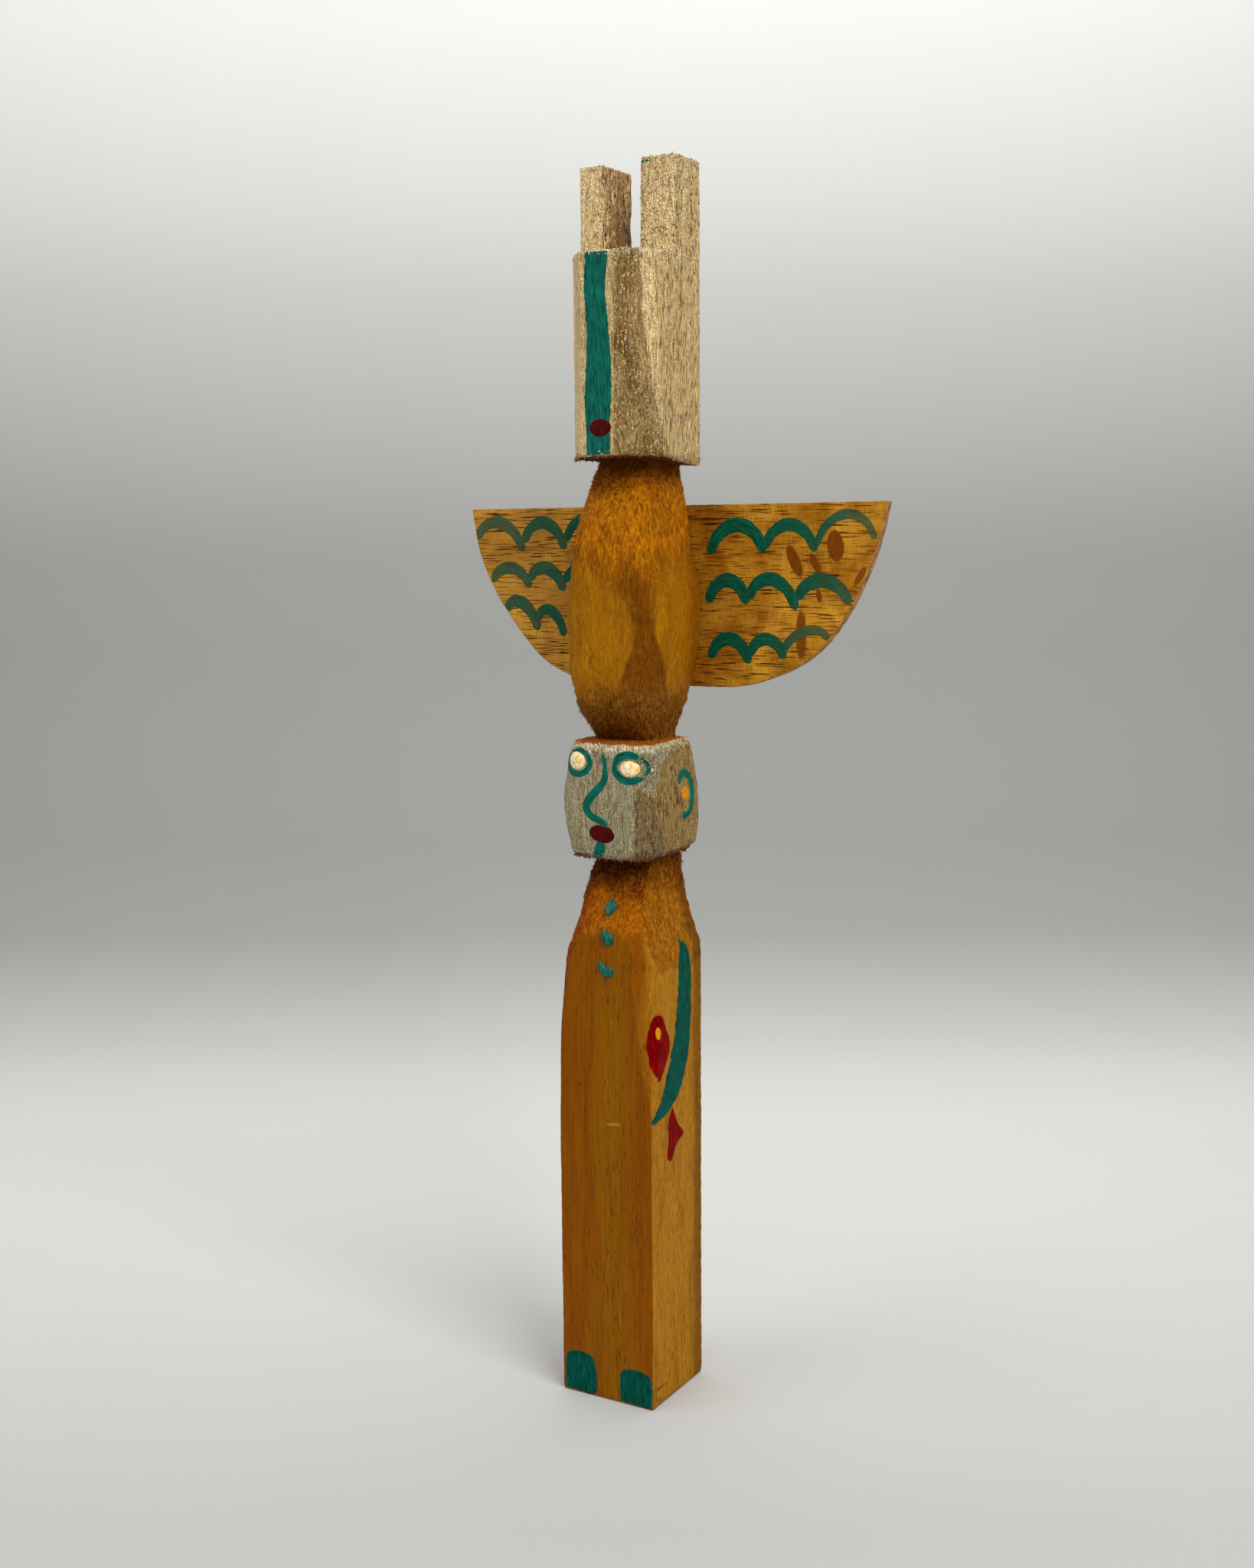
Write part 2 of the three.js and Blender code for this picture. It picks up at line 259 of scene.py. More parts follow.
# The ridges that a brush leaves, running along the V of a stroke's own map, in millimetres.
def makeBrushGroup():
    tree, given, out = shaderGroup(
        "brushRidges",
        [("Stroke", "v", None), ("Ridge Width", "f", 0.3)],
        [("Ridges", "f"), ("Patches", "f")],
    )
    scale = sums(tree, "DIVIDE", 1.0, given["Ridge Width"])
    ridges = noisy(tree, stretched(tree, given["Stroke"], (1, 0.09, 1)), scale, 3, 0.6, 0.3)
    patches = noisy(tree, stretched(tree, given["Stroke"], (1, 0.5, 1)), 0.55, 3, 0.6)
    tree.links.new(ridges, out["Ridges"])
    tree.links.new(patches, out["Patches"])
    return tree


grainGroup = makeGrainGroup()
flakeGroup = makeFlakeGroup()
brushGroup = makeBrushGroup()


def useGroup(tree, group, **inputs):
    labels = {key[0].upper() + "".join(" " + c if c.isupper() else c for c in key[1:]): value
              for key, value in inputs.items()}
    return addNode(tree, "ShaderNodeGroup", labels, node_tree=group).outputs


def newMaterial(name, **fixed):  # a Principled material, with the values that never change set on its sockets
    material = bpy.data.materials.new(name)
    material.use_nodes = True
    tree = material.node_tree
    shader = tree.nodes["Principled BSDF"]
    for label, value in fixed.items():
        shader.inputs["".join(" " + c if c.isupper() else c for c in label).strip().title()
                      .replace("Ior", "IOR")].default_value = value
    place = addNode(tree, "ShaderNodeTexCoord").outputs["Object"]
    position = scaled(tree, place, 1 / mm)
    return material, tree, shader, position


def attribute(tree, name, output="Fac"):
    return addNode(tree, "ShaderNodeAttribute", attribute_name=name).outputs[output]


def finishMaterial(tree, shader, colour, roughness, height, depth, metal=None):
    tree.links.new(colour, shader.inputs["Base Color"])
    tree.links.new(roughness, shader.inputs["Roughness"])
    if metal is not None:
        tree.links.new(metal, shader.inputs["Metallic"])
    bump = addNode(tree, "ShaderNodeBump", {"Height": height, "Distance": depth * mm, "Strength": 1.0})
    tree.links.new(bump.outputs[0], shader.inputs["Normal"])


# Stained wood. "tint" is the colour at each point, "fuzz" how torn the fibres are, and the dark-fibre
# attribute how many are dark: soot, and painted shade at the necks.
def stainedWood(name):
    material, tree, shader, position = newMaterial(name, specularIorLevel=0.05)
    grain = useGroup(tree, grainGroup, position=position, poreLength=3.2, poreShare=0.5)
    tint = attribute(tree, "tint", "Color")
    fuzz = attribute(tree, "fuzz")
    soot = attribute(tree, "soot")
    tufts = noisy(tree, stretched(tree, position, (1, 1, 0.3)), 1.5, 5, 0.72, 0.35)
    streaks = noisy(tree, stretched(tree, position, (1, 1, 0.09)), 0.5, 4, 0.65)
    dark = tinted(tree, tint, linear(170, 148, 112))
    light = tinted(tree, tint, [1.42, 1.48, 1.7])
    smooth = plus(tree, times(tree, grain["Fibre"], 0.8), times(tree, streaks, 0.5))
    smooth = spread(tree, smooth, 0.3, 1.0, 0.32, 0.95)
    torn = spread(tree, tufts, 0.34, 0.62)
    value = addNode(tree, "ShaderNodeMix", {0: fuzz, 2: smooth, 3: torn}).outputs[0]
    colour = mixed(tree, value, dark, light)
    pores = times(tree, grain["Pores"], spread(tree, fuzz, 0, 1, 0.55, 0.35))
    colour = mixed(tree, pores, colour, tinted(tree, tint, linear(120, 92, 70)))
    # Dark specks, more of them where the dark-fibre attribute is high: dark fibres, and painted shade at the
    # necks.
    bar = spread(tree, soot, 0, 1, 0.72, 0.42)
    specks = noisy(tree, stretched(tree, position, (1, 1, 0.42)), 2.1, 4, 0.75, 0.3)
    sootAndShadeSpecks = times(tree, minus(tree, specks, bar), 9.0, clamp=True)
    colour = mixed(tree, times(tree, sootAndShadeSpecks, 0.82), colour, linear(58, 22, 4))
    # Pale tuft tips: paler torn fibres, and painted highlight on them.
    paleTuftsAndHighlight = spread(tree, tufts, 0.6, 0.74)
    paleTuftsAndHighlight = times(tree, paleTuftsAndHighlight, times(tree, fuzz, 0.5))
    colour = mixed(tree, paleTuftsAndHighlight, colour, tinted(tree, tint, [1.9, 2.1, 4.0]))
    rugged = times(tree, times(tree, tufts, fuzz), 5.0)
    height = plus(tree, times(tree, grain["Height"], 0.8), rugged)
    height = plus(tree, height, times(tree, sootAndShadeSpecks, -0.8))
    rough = spread(tree, value, 0, 1, 0.75, 0.5)
    finishMaterial(tree, shader, colour, rough, height, 0.24)
    return material


# Metallic paint brushed over the wood. "bare" is how far the wood shows, "glitter" how sparkly it is.
def metalPaint(name, wood, flakeShare, flake):
    material, tree, shader, position = newMaterial(name, specularIorLevel=0.2)
    grain = useGroup(tree, grainGroup, position=position, poreLength=2.4, poreShare=1.05)
    flakes = useGroup(tree, flakeGroup, position=position, grainSize=0.3, share=flakeShare)
    crumbs = useGroup(tree, flakeGroup, position=position, grainSize=0.58, share=0.26)
    tint = attribute(tree, "tint", "Color")
    bare = attribute(tree, "bare")
    glitter = attribute(tree, "glitter")
    dark = tinted(tree, tint, linear(196, 184, 156))
    light = tinted(tree, tint, [1.5, 1.52, 1.56])
    body = mixed(tree, flakes["Mottle"], dark, light)
    body = mixed(tree, spread(tree, grain["Fibre"], 0.15, 0.7, 0.5, 0.0), body, dark)
    woodHere = tinted(tree, tint, linear(*wood))
    thin = times(tree, bare, spread(tree, grain["Fibre"], 0.7, 0.35), clamp=True)
    body = mixed(tree, thin, body, woodHere)
    pores = times(tree, grain["Pores"], plus(tree, 0.35, times(tree, bare, 0.9)), clamp=True)
    body = mixed(tree, pores, body, linear(84, 50, 16))
    low = spread(tree, plus(tree, flakes["Height"], crumbs["Height"]), 0.96, 0.74)
    pits = times(tree, low, plus(tree, 0.25, glitter), clamp=True)
    body = mixed(tree, times(tree, pits, 0.75), body, tinted(tree, tint, linear(150, 112, 62)))
    shine = plus(tree, flakes["Flakes"], times(tree, crumbs["Flakes"], glitter))
    shine = times(tree, shine, plus(tree, 0.22, glitter), clamp=True)
    colour = mixed(tree, shine, body, linear(*flake))
    metal = spread(tree, sums(tree, "MAXIMUM", thin, pores), 0, 1, 0.4, 0.0)
    rough = spread(tree, shine, 0, 1, 0.58, 0.32)
    height = plus(tree, grain["Height"], times(tree, flakes["Height"], 1.1))
    rugged = times(tree, times(tree, crumbs["Height"], glitter), 2.6)
    height = plus(tree, height, rugged)
    finishMaterial(tree, shader, colour, rough, height, 0.28, metal)
    return material


# Sawn or torn end grain, in whatever colour "tint" gives.
def tornEnd(name):
    material, tree, shader, position = newMaterial(name, specularIorLevel=0.1)
    tint = attribute(tree, "tint", "Color")
    crumbs = noisy(tree, position, 1.7, 5, 0.75)
    pores = addNode(tree, "ShaderNodeTexVoronoi", {"Vector": position, "Scale": 1.9}).outputs["Distance"]
    dark = tinted(tree, tint, linear(140, 110, 86))
    colour = mixed(tree, spread(tree, crumbs, 0.38, 0.6), dark, tint)
    colour = mixed(tree, spread(tree, pores, 0.22, 0.1, 0.0, 0.6), colour, linear(58, 24, 6))
    rough = spread(tree, crumbs, 0.3, 0.7, 0.95, 0.75)
    finishMaterial(tree, shader, colour, rough, plus(tree, crumbs, times(tree, pores, 0.5)), 0.5)
    return material


boardColours = {
    "dark": (126, 66, 0),
    "light": (222, 160, 48),
    "pore": (58, 18, 2),
    "tape": (146, 86, 0),
    "worn": (232, 182, 96),
}


# The veneer's colour at a point: grain along X, so X and Z change places before the grain is read.
def veneerColour(tree, position):
    split = addNode(tree, "ShaderNodeSeparateXYZ", {0: position}).outputs
    turned = addNode(tree, "ShaderNodeCombineXYZ", {"X": times(tree, split["Z"], 1.7),
                                                    "Y": times(tree, split["Y"], 1.7), "Z": split["X"]})
    grain = useGroup(tree, grainGroup, position=turned.outputs[0], poreLength=6.0, poreShare=0.86)
    cross = noisy(tree, stretched(tree, position, (1, 1, 0.12)), 2.8, 3, 0.65)
    patches = noisy(tree, stretched(tree, position, (1, 1, 0.8)), 0.075, 4, 0.62, 0.6)
    tone = plus(tree, times(tree, grain["Fibre"], 0.5), spread(tree, patches, 0.38, 0.62, 0.0, 0.85))
    colour = mixed(tree, tone, linear(*boardColours["dark"]), linear(*boardColours["light"]))
    colour = mixed(tree, spread(tree, cross, 0.35, 0.65, 0.4, 0.0), colour, linear(*boardColours["dark"]))
    colour = mixed(tree, spread(tree, cross, 0.58, 0.75, 0.0, 0.35), colour, linear(*boardColours["worn"]))
    tape = noisy(tree, stretched(tree, position, (0.35, 1, 1)), 0.11, 2)
    colour = mixed(tree, spread(tree, tape, 0.4, 0.65, 0.0, 0.5), colour, linear(*boardColours["tape"]))
    # Darker near the stick: stain pooled there, and painted shade where the board meets the stick.
    aside = sums(tree, "ABSOLUTE", split["X"])
    colour = mixed(tree, spread(tree, aside, 13.0, 25.0, 0.5, 0.0), colour, linear(*boardColours["dark"]))
    # Painted light on the figure's right wing, which the lamps leave in the stick's shade; the colour is the
    # pale worn wood.
    paintedLightRightWing = spread(tree, split["X"], -16.0, -30.0, 0.0, 0.16)
    colour = mixed(tree, paintedLightRightWing, colour, linear(*boardColours["worn"]))
    colour = mixed(tree, times(tree, grain["Pores"], 0.92), colour, linear(*boardColours["pore"]))
    return colour, grain, cross


def veneerWood():
    material, tree, shader, position = newMaterial("stainedVeneer", specularIorLevel=0.03)
    colour, grain, cross = veneerColour(tree, position)
    rim = attribute(tree, "rim")
    plies = noisy(tree, stretched(tree, position, (0.3, 2.4, 0.3)), 1.4, 2)
    sawn = mixed(tree, spread(tree, plies, 0.4, 0.6), linear(112, 66, 30), linear(200, 150, 96))
    colour = mixed(tree, rim, colour, sawn)
    rough = spread(tree, grain["Fibre"], 0, 1, 0.62, 0.45)
    height = plus(tree, grain["Height"], times(tree, cross, 0.25))
    finishMaterial(tree, shader, colour, rough, height, 0.16)
    return material


# Craft paint in one colour. "coverage" is how well it hides what it was brushed over.
def craftPaint(name, deep, pale, overVeneer=False, gloss=0.42, shine=0.06):
    material, tree, shader, position = newMaterial(name, specularIorLevel=shine)
    stroke = addNode(tree, "ShaderNodeUVMap", uv_map="stroke").outputs[0]
    brush = useGroup(tree, brushGroup, stroke=stroke, ridgeWidth=0.34)
    grain = useGroup(tree, grainGroup, position=position, poreLength=2.6, poreShare=0.45)
    # Ridges paler than the hollows: paint streaks, and painted highlight on the ridges.
    colour = mixed(tree, spread(tree, brush["Ridges"], 0.36, 0.66), linear(*deep), linear(*pale))
    colour = mixed(tree, spread(tree, brush["Patches"], 0.4, 0.7, 0.0, 0.45), colour, linear(*deep))
    height = plus(tree, brush["Ridges"], times(tree, grain["Height"], 0.6))
    coverage = attribute(tree, "coverage")
    if overVeneer:
        under, veneerGrain, cross = veneerColour(tree, position)
        hides = plus(tree, coverage, times(tree, minus(tree, brush["Ridges"], 0.5), 0.9))
        hides = minus(tree, hides, times(tree, veneerGrain["Pores"], 0.35), clamp=True)
        colour = mixed(tree, hides, under, colour)
    else:
        gaps = times(tree, grain["Pores"], 0.4)
        colour = mixed(tree, gaps, colour, linear(*[c * 0.45 for c in deep]))
        thin = plus(tree, coverage, times(tree, minus(tree, brush["Ridges"], 0.5), 1.2))
        colour = mixed(tree, spread(tree, thin, 0.12, 0.42), linear(118, 72, 6), colour)
    rough = spread(tree, brush["Patches"], 0.3, 0.7, gloss, gloss + 0.16)
    finishMaterial(tree, shader, colour, rough, height, 0.14)
    return material


def dabPaint():  # the thick eye dabs: cream, yellow in the hollows, white on the ridges
    material, tree, shader, position = newMaterial("creamDab", specularIorLevel=0.5)
    swirl = noisy(tree, position, 0.95, 3, 0.6, 0.8)
    colour = mixed(tree, spread(tree, swirl, 0.38, 0.62), linear(238, 190, 84), linear(255, 247, 214))
    finishMaterial(tree, shader, colour, spread(tree, swirl, 0.3, 0.7, 0.4, 0.28), swirl, 0.35)
    return material


def glueFinish():
    material, tree, shader, position = newMaterial("driedGlue", specularIorLevel=0.5, subsurfaceWeight=0.1)
    lumpsHere = noisy(tree, position, 0.5, 3)
    colour = mixed(tree, lumpsHere, linear(120, 72, 20), linear(170, 120, 52))
    finishMaterial(tree, shader, colour, spread(tree, lumpsHere, 0.3, 0.7, 0.25, 0.5), lumpsHere, 0.3)
    return material


def pinMetal():
    material, tree, shader, position = newMaterial("pinSteel")
    scratches = noisy(tree, stretched(tree, position, (6, 1, 1.4)), 3.0, 3)
    colour = mixed(tree, scratches, linear(120, 118, 112), linear(205, 203, 196))
    metal = spread(tree, scratches, 0.2, 0.3, 0.9, 1.0)
    finishMaterial(tree, shader, colour, spread(tree, scratches, 0.3, 0.7, 0.25, 0.5), scratches, 0.04, metal)
    return material


stain = stainedWood("stainedStick")
gold = metalPaint("paleGoldPaint", (200, 168, 116), 0.36, (255, 240, 190))
silver = metalPaint("greyGoldPaint", (226, 204, 160), 0.28, (255, 250, 222))
torn = tornEnd("tornEndGrain")
veneer = veneerWood()
teal = craftPaint("tealPaint", (0, 64, 54), (12, 124, 104))
deepTeal = craftPaint("deepTealPaint", (0, 50, 42), (4, 98, 82), shine=0.03)
beadTeal = craftPaint("thickTealPaint", (0, 62, 50), (10, 122, 98), gloss=0.22, shine=0.3)
wingTeal = craftPaint("thinTealPaint", (0, 58, 38), (8, 102, 76), overVeneer=True)
red = craftPaint("darkRedPaint", (92, 0, 2), (146, 2, 6), shine=0.02)
dotRed = craftPaint("brownRedPaint", (56, 0, 2), (96, 8, 8))
yellow = craftPaint("yellowPaint", (188, 114, 0), (230, 158, 16))
scraped = craftPaint("scrapedWood", (140, 104, 24), (176, 138, 60))
brownWash = craftPaint("brownWash", (104, 52, 0), (128, 70, 2), overVeneer=True)
cream = dabPaint()
glue = glueFinish()
pinSteel = pinMetal()
print("materials made")


# The carved stick.

# A cross-section: how far its left, right and front are from the middle, with left and right as seen
# from the front, and the two front corners as (cut along the front, cut along the side, how round).
# nose is the right side's front end.
def station(z, left, right, front, leftCut, rightCut, nose=None):
    return z, (left, right, front, *leftCut, *rightCut, right if nose is None else nose)


keen = (0.4, 0.4, 0.3)  # the stick's own corner, hardly broken
lengths = {
    "body": {
        "stations": [
            station(0, 12.9, half - 0.5, half - 0.5, keen, keen),
            station(0.9, 13.2, half, half, keen, keen),
            station(60, 13.3, half, half, keen, keen),
            station(76, 13.3, half, half, (0.5, 0.5, 0.1), (0.7, 0.7, 0.1)),
            station(88, 13.3, half, half, (0.8, 0.8, 0.1), (3.4, 3.4, 0.1)),
            station(104, 12.8, half, half, (2.2, 2.2, 0.4), (4.6, 5, 0.2)),
            station(111, 12.3, 12.6, 12.7, (3, 3, 0.5), (5, 5, 0.4)),
            station(117, 10.8, 10.7, 12.2, (3.6, 3.6, 0.7), (5, 5, 0.6)),
            station(124, 10.3, 8.5, 8.4, (4, 4, 0.8), (4.4, 4.4, 0.8)),
            station(130, 9.6, 7.5, 5, (3.4, 3.4, 0.9), (3.4, 3.4, 0.9)),
            station(136.2, 8.7, 6.9, 2, (3, 3, 0.9), (3, 3, 0.9)),
        ],
        "facets": [(0, 29, 0.35), (-34, 24, 0.3), (32, 27, 0.35), (64, 22, 0.3), (-72, 12, 0.2),
                   (90, 20, 0.3),
                   (16, 40, 0.3), (-90, 20, 0.3)],
        "cutDepth": 0.16, "cutSize": (9, 9, 22), "crestTilt": 0.29, "crest": 115.5,
    },
    "face": {
        "stations": [
            station(135.2, 11.1, 9.4, 11.9, (7, 6, 0.8), (4.5, 4.5, 0.3), 10),
            station(137.4, 12.1, 11.4, 12.5, (7, 6, 0.8), (4.6, 4.6, 0.2), 11.6),
            station(145, 12.5, 12.1, half, (4, 4, 0.8), (4.6, 4.6, 0.1), 12.4),
            station(150, 12.7, 11.9, half, (3.6, 3.6, 0.8), (4.6, 4.6, 0.1), 12.5),
            station(155.5, 12.5, 11.1, half, (5.7, 5.7, 0.8), (4.4, 4.4, 0.1), 12.4),
            station(160.5, 12.4, 9.9, 12.6, (8, 7, 0.8), (3.6, 3.6, 0.2), 12),
            station(162.8, 12, 9, 12.4, (10.5, 8, 0.7), (3.2, 3.2, 0.3), 11.6),
        ],
        "facets": [],
        "cutDepth": 0.12, "cutSize": (8, 8, 14),
    },
    "breast": {
        "stations": [
            station(161.8, 9.6, 5.8, 0.3, (2.5, 2.5, 0.9), (2.5, 2.5, 0.9)),
            station(164, 10, 5.9, 2.4, (4, 4, 0.9), (3.4, 3.4, 0.9)),
            station(168, 10.9, 7.3, 7, (7, 7, 0.9), (5.6, 5.6, 0.9)),
            station(172, 11.5, 8.9, 10.2, (7.4, 7.4, 0.9), (6.6, 6.6, 0.9)),
            station(177, 12, 10.3, 12, (7.4, 7.4, 0.9), (7, 7, 0.9)),
            station(183, 12.5, 11.7, 12.6, (7.4, 7.4, 0.9), (7.4, 7.4, 0.9)),
            station(190, 12.6, 12.5, half, (7.4, 7.4, 0.9), (7.6, 7.6, 0.9)),
            station(198, 12.4, 12.6, half, (8.6, 8.6, 0.9), (8, 8, 0.9)),
            station(205, 11.9, 11.2, 12.4, (8.8, 8.8, 0.9), (8, 8, 0.9)),
            station(212, 10.9, 9.8, 11.4, (7.4, 7.4, 0.9), (7, 7, 0.9)),
            station(218, 9.6, 9, 9.2, (7, 7, 0.9), (6.4, 6.4, 0.9)),
            station(224, 8.8, 7.7, 5.4, (5, 5, 0.9), (5, 5, 0.9)),
            station(230.6, 7.9, 7, 1, (2.5, 2.5, 0.9), (2.5, 2.5, 0.9)),
        ],
        "facets": [(-70, -2, 0.3), (-44, 1, 0.45), (-22, -3, 0.3), (24, 0, 0.4), (46, 2, 0.4),
                   (70, -2, 0.35),
                   (-58, 13, 0.3), (-28, 15, 0.35), (4, 13, 0.4), (34, 15, 0.4), (64, 13, 0.3),
                   (-12, 30, 0.3), (28, 32, 0.3), (60, 26, 0.3), (-56, 28, 0.3),
                   (-62, -14, 0.3), (-32, -13, 0.5), (-4, -15, 0.3), (20, -12, 0.4), (50, -14, 0.4),
                   (76, -12, 0.3),
                   (-44, -34, 0.3), (-8, -38, 0.3), (30, -36, 0.3), (64, -30, 0.3)],
        "cutDepth": 0.2, "cutSize": (6, 6, 15),
    },
    "snout": {
        "stations": [
            station(229.6, half, half, half, (7.7, 9.5, 0.1), (8.7, 8.2, 0)),
            station(239, half, half, half, (7.7, 9.5, 0.1), (8.7, 6.6, 0.1)),
            station(247, half, half, half, (7.7, 9.5, 0.1), (8.7, 5.4, 0.4)),
            station(257, half, half, half, (7.7, 9.5, 0.1), (8.8, 7, 0.6)),
            station(275.9, half, half, half, (7.7, 9.5, 0.2), (9.1, 12, 0.8)),
        ],
        "facets": [],
        "cutDepth": 0.1, "cutSize": (7, 7, 40),
    },
}
snoutTop = 275.9
ears = {
    "left": {"plan": [(3.4, 0.1), (half, 0), (half, half), (3, half)], "top": 298.0, "lean": 0.6,
             "torn": 0.25},
    "right": {"plan": [(-half, 0), (-6.4, 0.1), (-5.9, half), (-half, half)], "top": 297.3, "lean": 0.2,
              "torn": 0.6},
}
stick = {
    "ringGap": 0.65,  # between rings, up the stick
    "pointGap": 0.6,  # round an ear
    "broken": 0.35,  # the back corners
    "counts": {"side": 26, "cut": 17, "front": 26, "corner": 2, "back": 24},
    "capShrinks": (0.985, 0.95, 0.86, 0.7, 0.5, 0.25),
    "endRoughness": 0.22,
    "sawSlope": 1.5,  # how far the snout's sawn foot runs down to its back corner
}


def valuesAt(stations, z):  # smooth curves through the stations that never overshoot
    k = next((i for i in range(1, len(stations)) if z <= stations[i][0] + 1e-9), len(stations) - 1)
    around = [stations[min(max(i, 0), len(stations) - 1)] for i in (k - 2, k - 1, k, k + 1)]
    (zA, a), (zB, b), (zC, c), (zD, d) = around
    span = zC - zB
    t = min(1, max(0, (z - zB) / span))
    result = []
    for va, vb, vc, vd in zip(a, b, c, d):
        here = (vc - vb) / span
        before = (vb - va) / (zB - zA) if zB > zA else 0
        after = (vd - vc) / (zD - zC) if zD > zC else 0
        start = 2 * here * before / (here + before) * span if here * before > 0 else 0
        end = 2 * here * after / (here + after) * span if here * after > 0 else 0
        t2, t3 = t * t, t * t * t
        result.append(vb * (2 * t3 - 3 * t2 + 1) + start * (t3 - 2 * t2 + t)
                      + vc * (3 * t2 - 2 * t3) + end * (t3 - t2))
    return result


def straight(a, b, count):
    return [(a[0] + (b[0] - a[0]) * i / count, a[1] + (b[1] - a[1]) * i / count) for i in range(count)]


def cut(a, tip, b, roundness, count):  # a corner cut from a to b, pulled out towards its tip
    middle = [(p + q) / 2 + (c - (p + q) / 2) * roundness for p, q, c in zip(a, b, tip)]
    points = []
    for i in range(count):
        t = i / count
        points.append(tuple(p * (1 - t) ** 2 + 2 * m * t * (1 - t) + q * t * t
                            for p, m, q in zip(a, middle, b)))
    return points


def crossSection(values):
    left, right, front, leftX, leftY, leftRound, rightX, rightY, rightRound, nose = values
    edge, n = stick["broken"], stick["counts"]
    corners = [(-left, half - edge), (-left, leftY - front), (leftX - left, -front),
               (nose - rightX, -front),
               (nose, rightY - front), (right, half - edge), (right - edge, half), (edge - left, half)]
    return (straight(corners[0], corners[1], n["side"])
            + cut(corners[1], (-left, -front), corners[2], leftRound, n["cut"])
            + straight(corners[2], corners[3], n["front"])
            + cut(corners[3], (nose, -front), corners[4], rightRound, n["cut"])
            + straight(corners[4], corners[5], n["side"])
            + cut(corners[5], (right, half), corners[6], 0.5, n["corner"])
            + straight(corners[6], corners[7], n["back"])
            + cut(corners[7], (-left, half), corners[0], 0.5, n["corner"]))


def roundedPlan(plan, edge, gap):
    points = []
    for i, here in enumerate(plan):
        before, after = Vector(plan[i - 1]), Vector(plan[(i + 1) % len(plan)])
        here = Vector(here)
        start = here + (before - here).normalized() * edge
        end = here + (after - here).normalized() * edge
        points += cut(start, here, end, 0.5, 3)
        stop = after + (here - after).normalized() * edge
        points += straight(end, stop, max(2, round((stop - end).length / gap)))
    return points


class Skin:  # vertices, faces and what is painted on them, gathered length by length
    def __init__(self):
        self.verts, self.faces, self.slots = [], [], []
        self.kinds = []  # for each vertex, the length it belongs to

    def loft(self, kind, rings, sideSlot, endSlot):
        first, count = len(self.verts), len(rings[0])
        for ring in rings:
            self.verts += ring
        for r in range(len(rings) - 1):
            for i in range(count):
                a, b = first + r * count + i, first + r * count + (i + 1) % count
                self.addFace((a, b, b + count, a + count), sideSlot)
        last = first + (len(rings) - 1) * count
        self.cap(first, rings[0], endSlot, True)
        self.cap(last, rings[-1], endSlot, False)
        self.kinds += [kind] * (len(self.verts) - len(self.kinds))

    def addFace(self, face, slotIndex):
        self.faces.append(face)
        self.slots.append(slotIndex)

    def cap(self, start, ring, slotIndex, below):
        middle = sum(ring, Vector()) / len(ring)
        count, outer = len(ring), list(range(start, start + len(ring)))
        for shrink in stick["capShrinks"]:
            inner = list(range(len(self.verts), len(self.verts) + count))
            self.verts += [middle + (p - middle) * shrink for p in ring]
            for i in range(count):
                j = (i + 1) % count
                face = (outer[i], outer[j], inner[j], inner[i])
                self.addFace(face[::-1] if below else face, slotIndex)
            outer = inner
        self.verts.append(middle.copy())
        for i in range(count):
            face = (outer[i], outer[(i + 1) % count], len(self.verts) - 1)
            self.addFace(face[::-1] if below else face, slotIndex)


stainSlot, goldSlot, silverSlot, tornSlot = range(4)


def buildLength(skin, kind, sideSlot):
    spec = lengths[kind]
    low, high = spec["stations"][0][0], spec["stations"][-1][0]
    steps = round((high - low) / stick["ringGap"])
    rings = []
    for i in range(steps + 1):
        z = low + (high - low) * i / steps
        values = valuesAt(spec["stations"], z)
        ring = crossSection(values)
        if "crestTilt" in spec:  # the shoulder's crest rises towards the figure's left
            reach = hill(spec["crest"], 14, z)
            ring = [(x, y + (values[2] - valuesAt(spec["stations"], z - spec["crestTilt"] * x * reach)[2])
                     * ramp(-2, -9, y)) for x, y in ring]
        rings.append([Vector((x, y, z)) for x, y in ring])
    skin.loft(kind, rings, sideSlot, tornSlot)


def buildEar(skin, side):
    spec = ears[side]
    steps = round((spec["top"] - snoutTop) / stick["ringGap"])
    rings = []
    for i in range(steps + 1):
        t = i / steps
        z = snoutTop - 0.4 + (spec["top"] - snoutTop + 0.4) * t
        plan = [(x + math.copysign(spec["lean"], x) * t if abs(x) < half - 0.1 else x, y)
                for x, y in spec["plan"]]
        ring = roundedPlan(plan, stick["broken"], stick["pointGap"])
        rings.append([Vector((x, y, z)) for x, y in ring])
    skin.loft(f"{side}Ear", rings, goldSlot, goldSlot)


# Flat knife cuts: each is (facing, upward tilt, depth), in degrees and mm, and takes off whatever stands
# proud of its plane.
def shave(points, facets):
    for facing, tilt, depth in facets:
        a, t = math.radians(facing), math.radians(tilt)
        way = Vector((math.sin(a) * math.cos(t), -math.cos(a) * math.cos(t), math.sin(t)))
        reach = max(p.dot(way) for p in points) - depth
        points = [p - way * max(0, p.dot(way) - reach) for p in points]
    return points


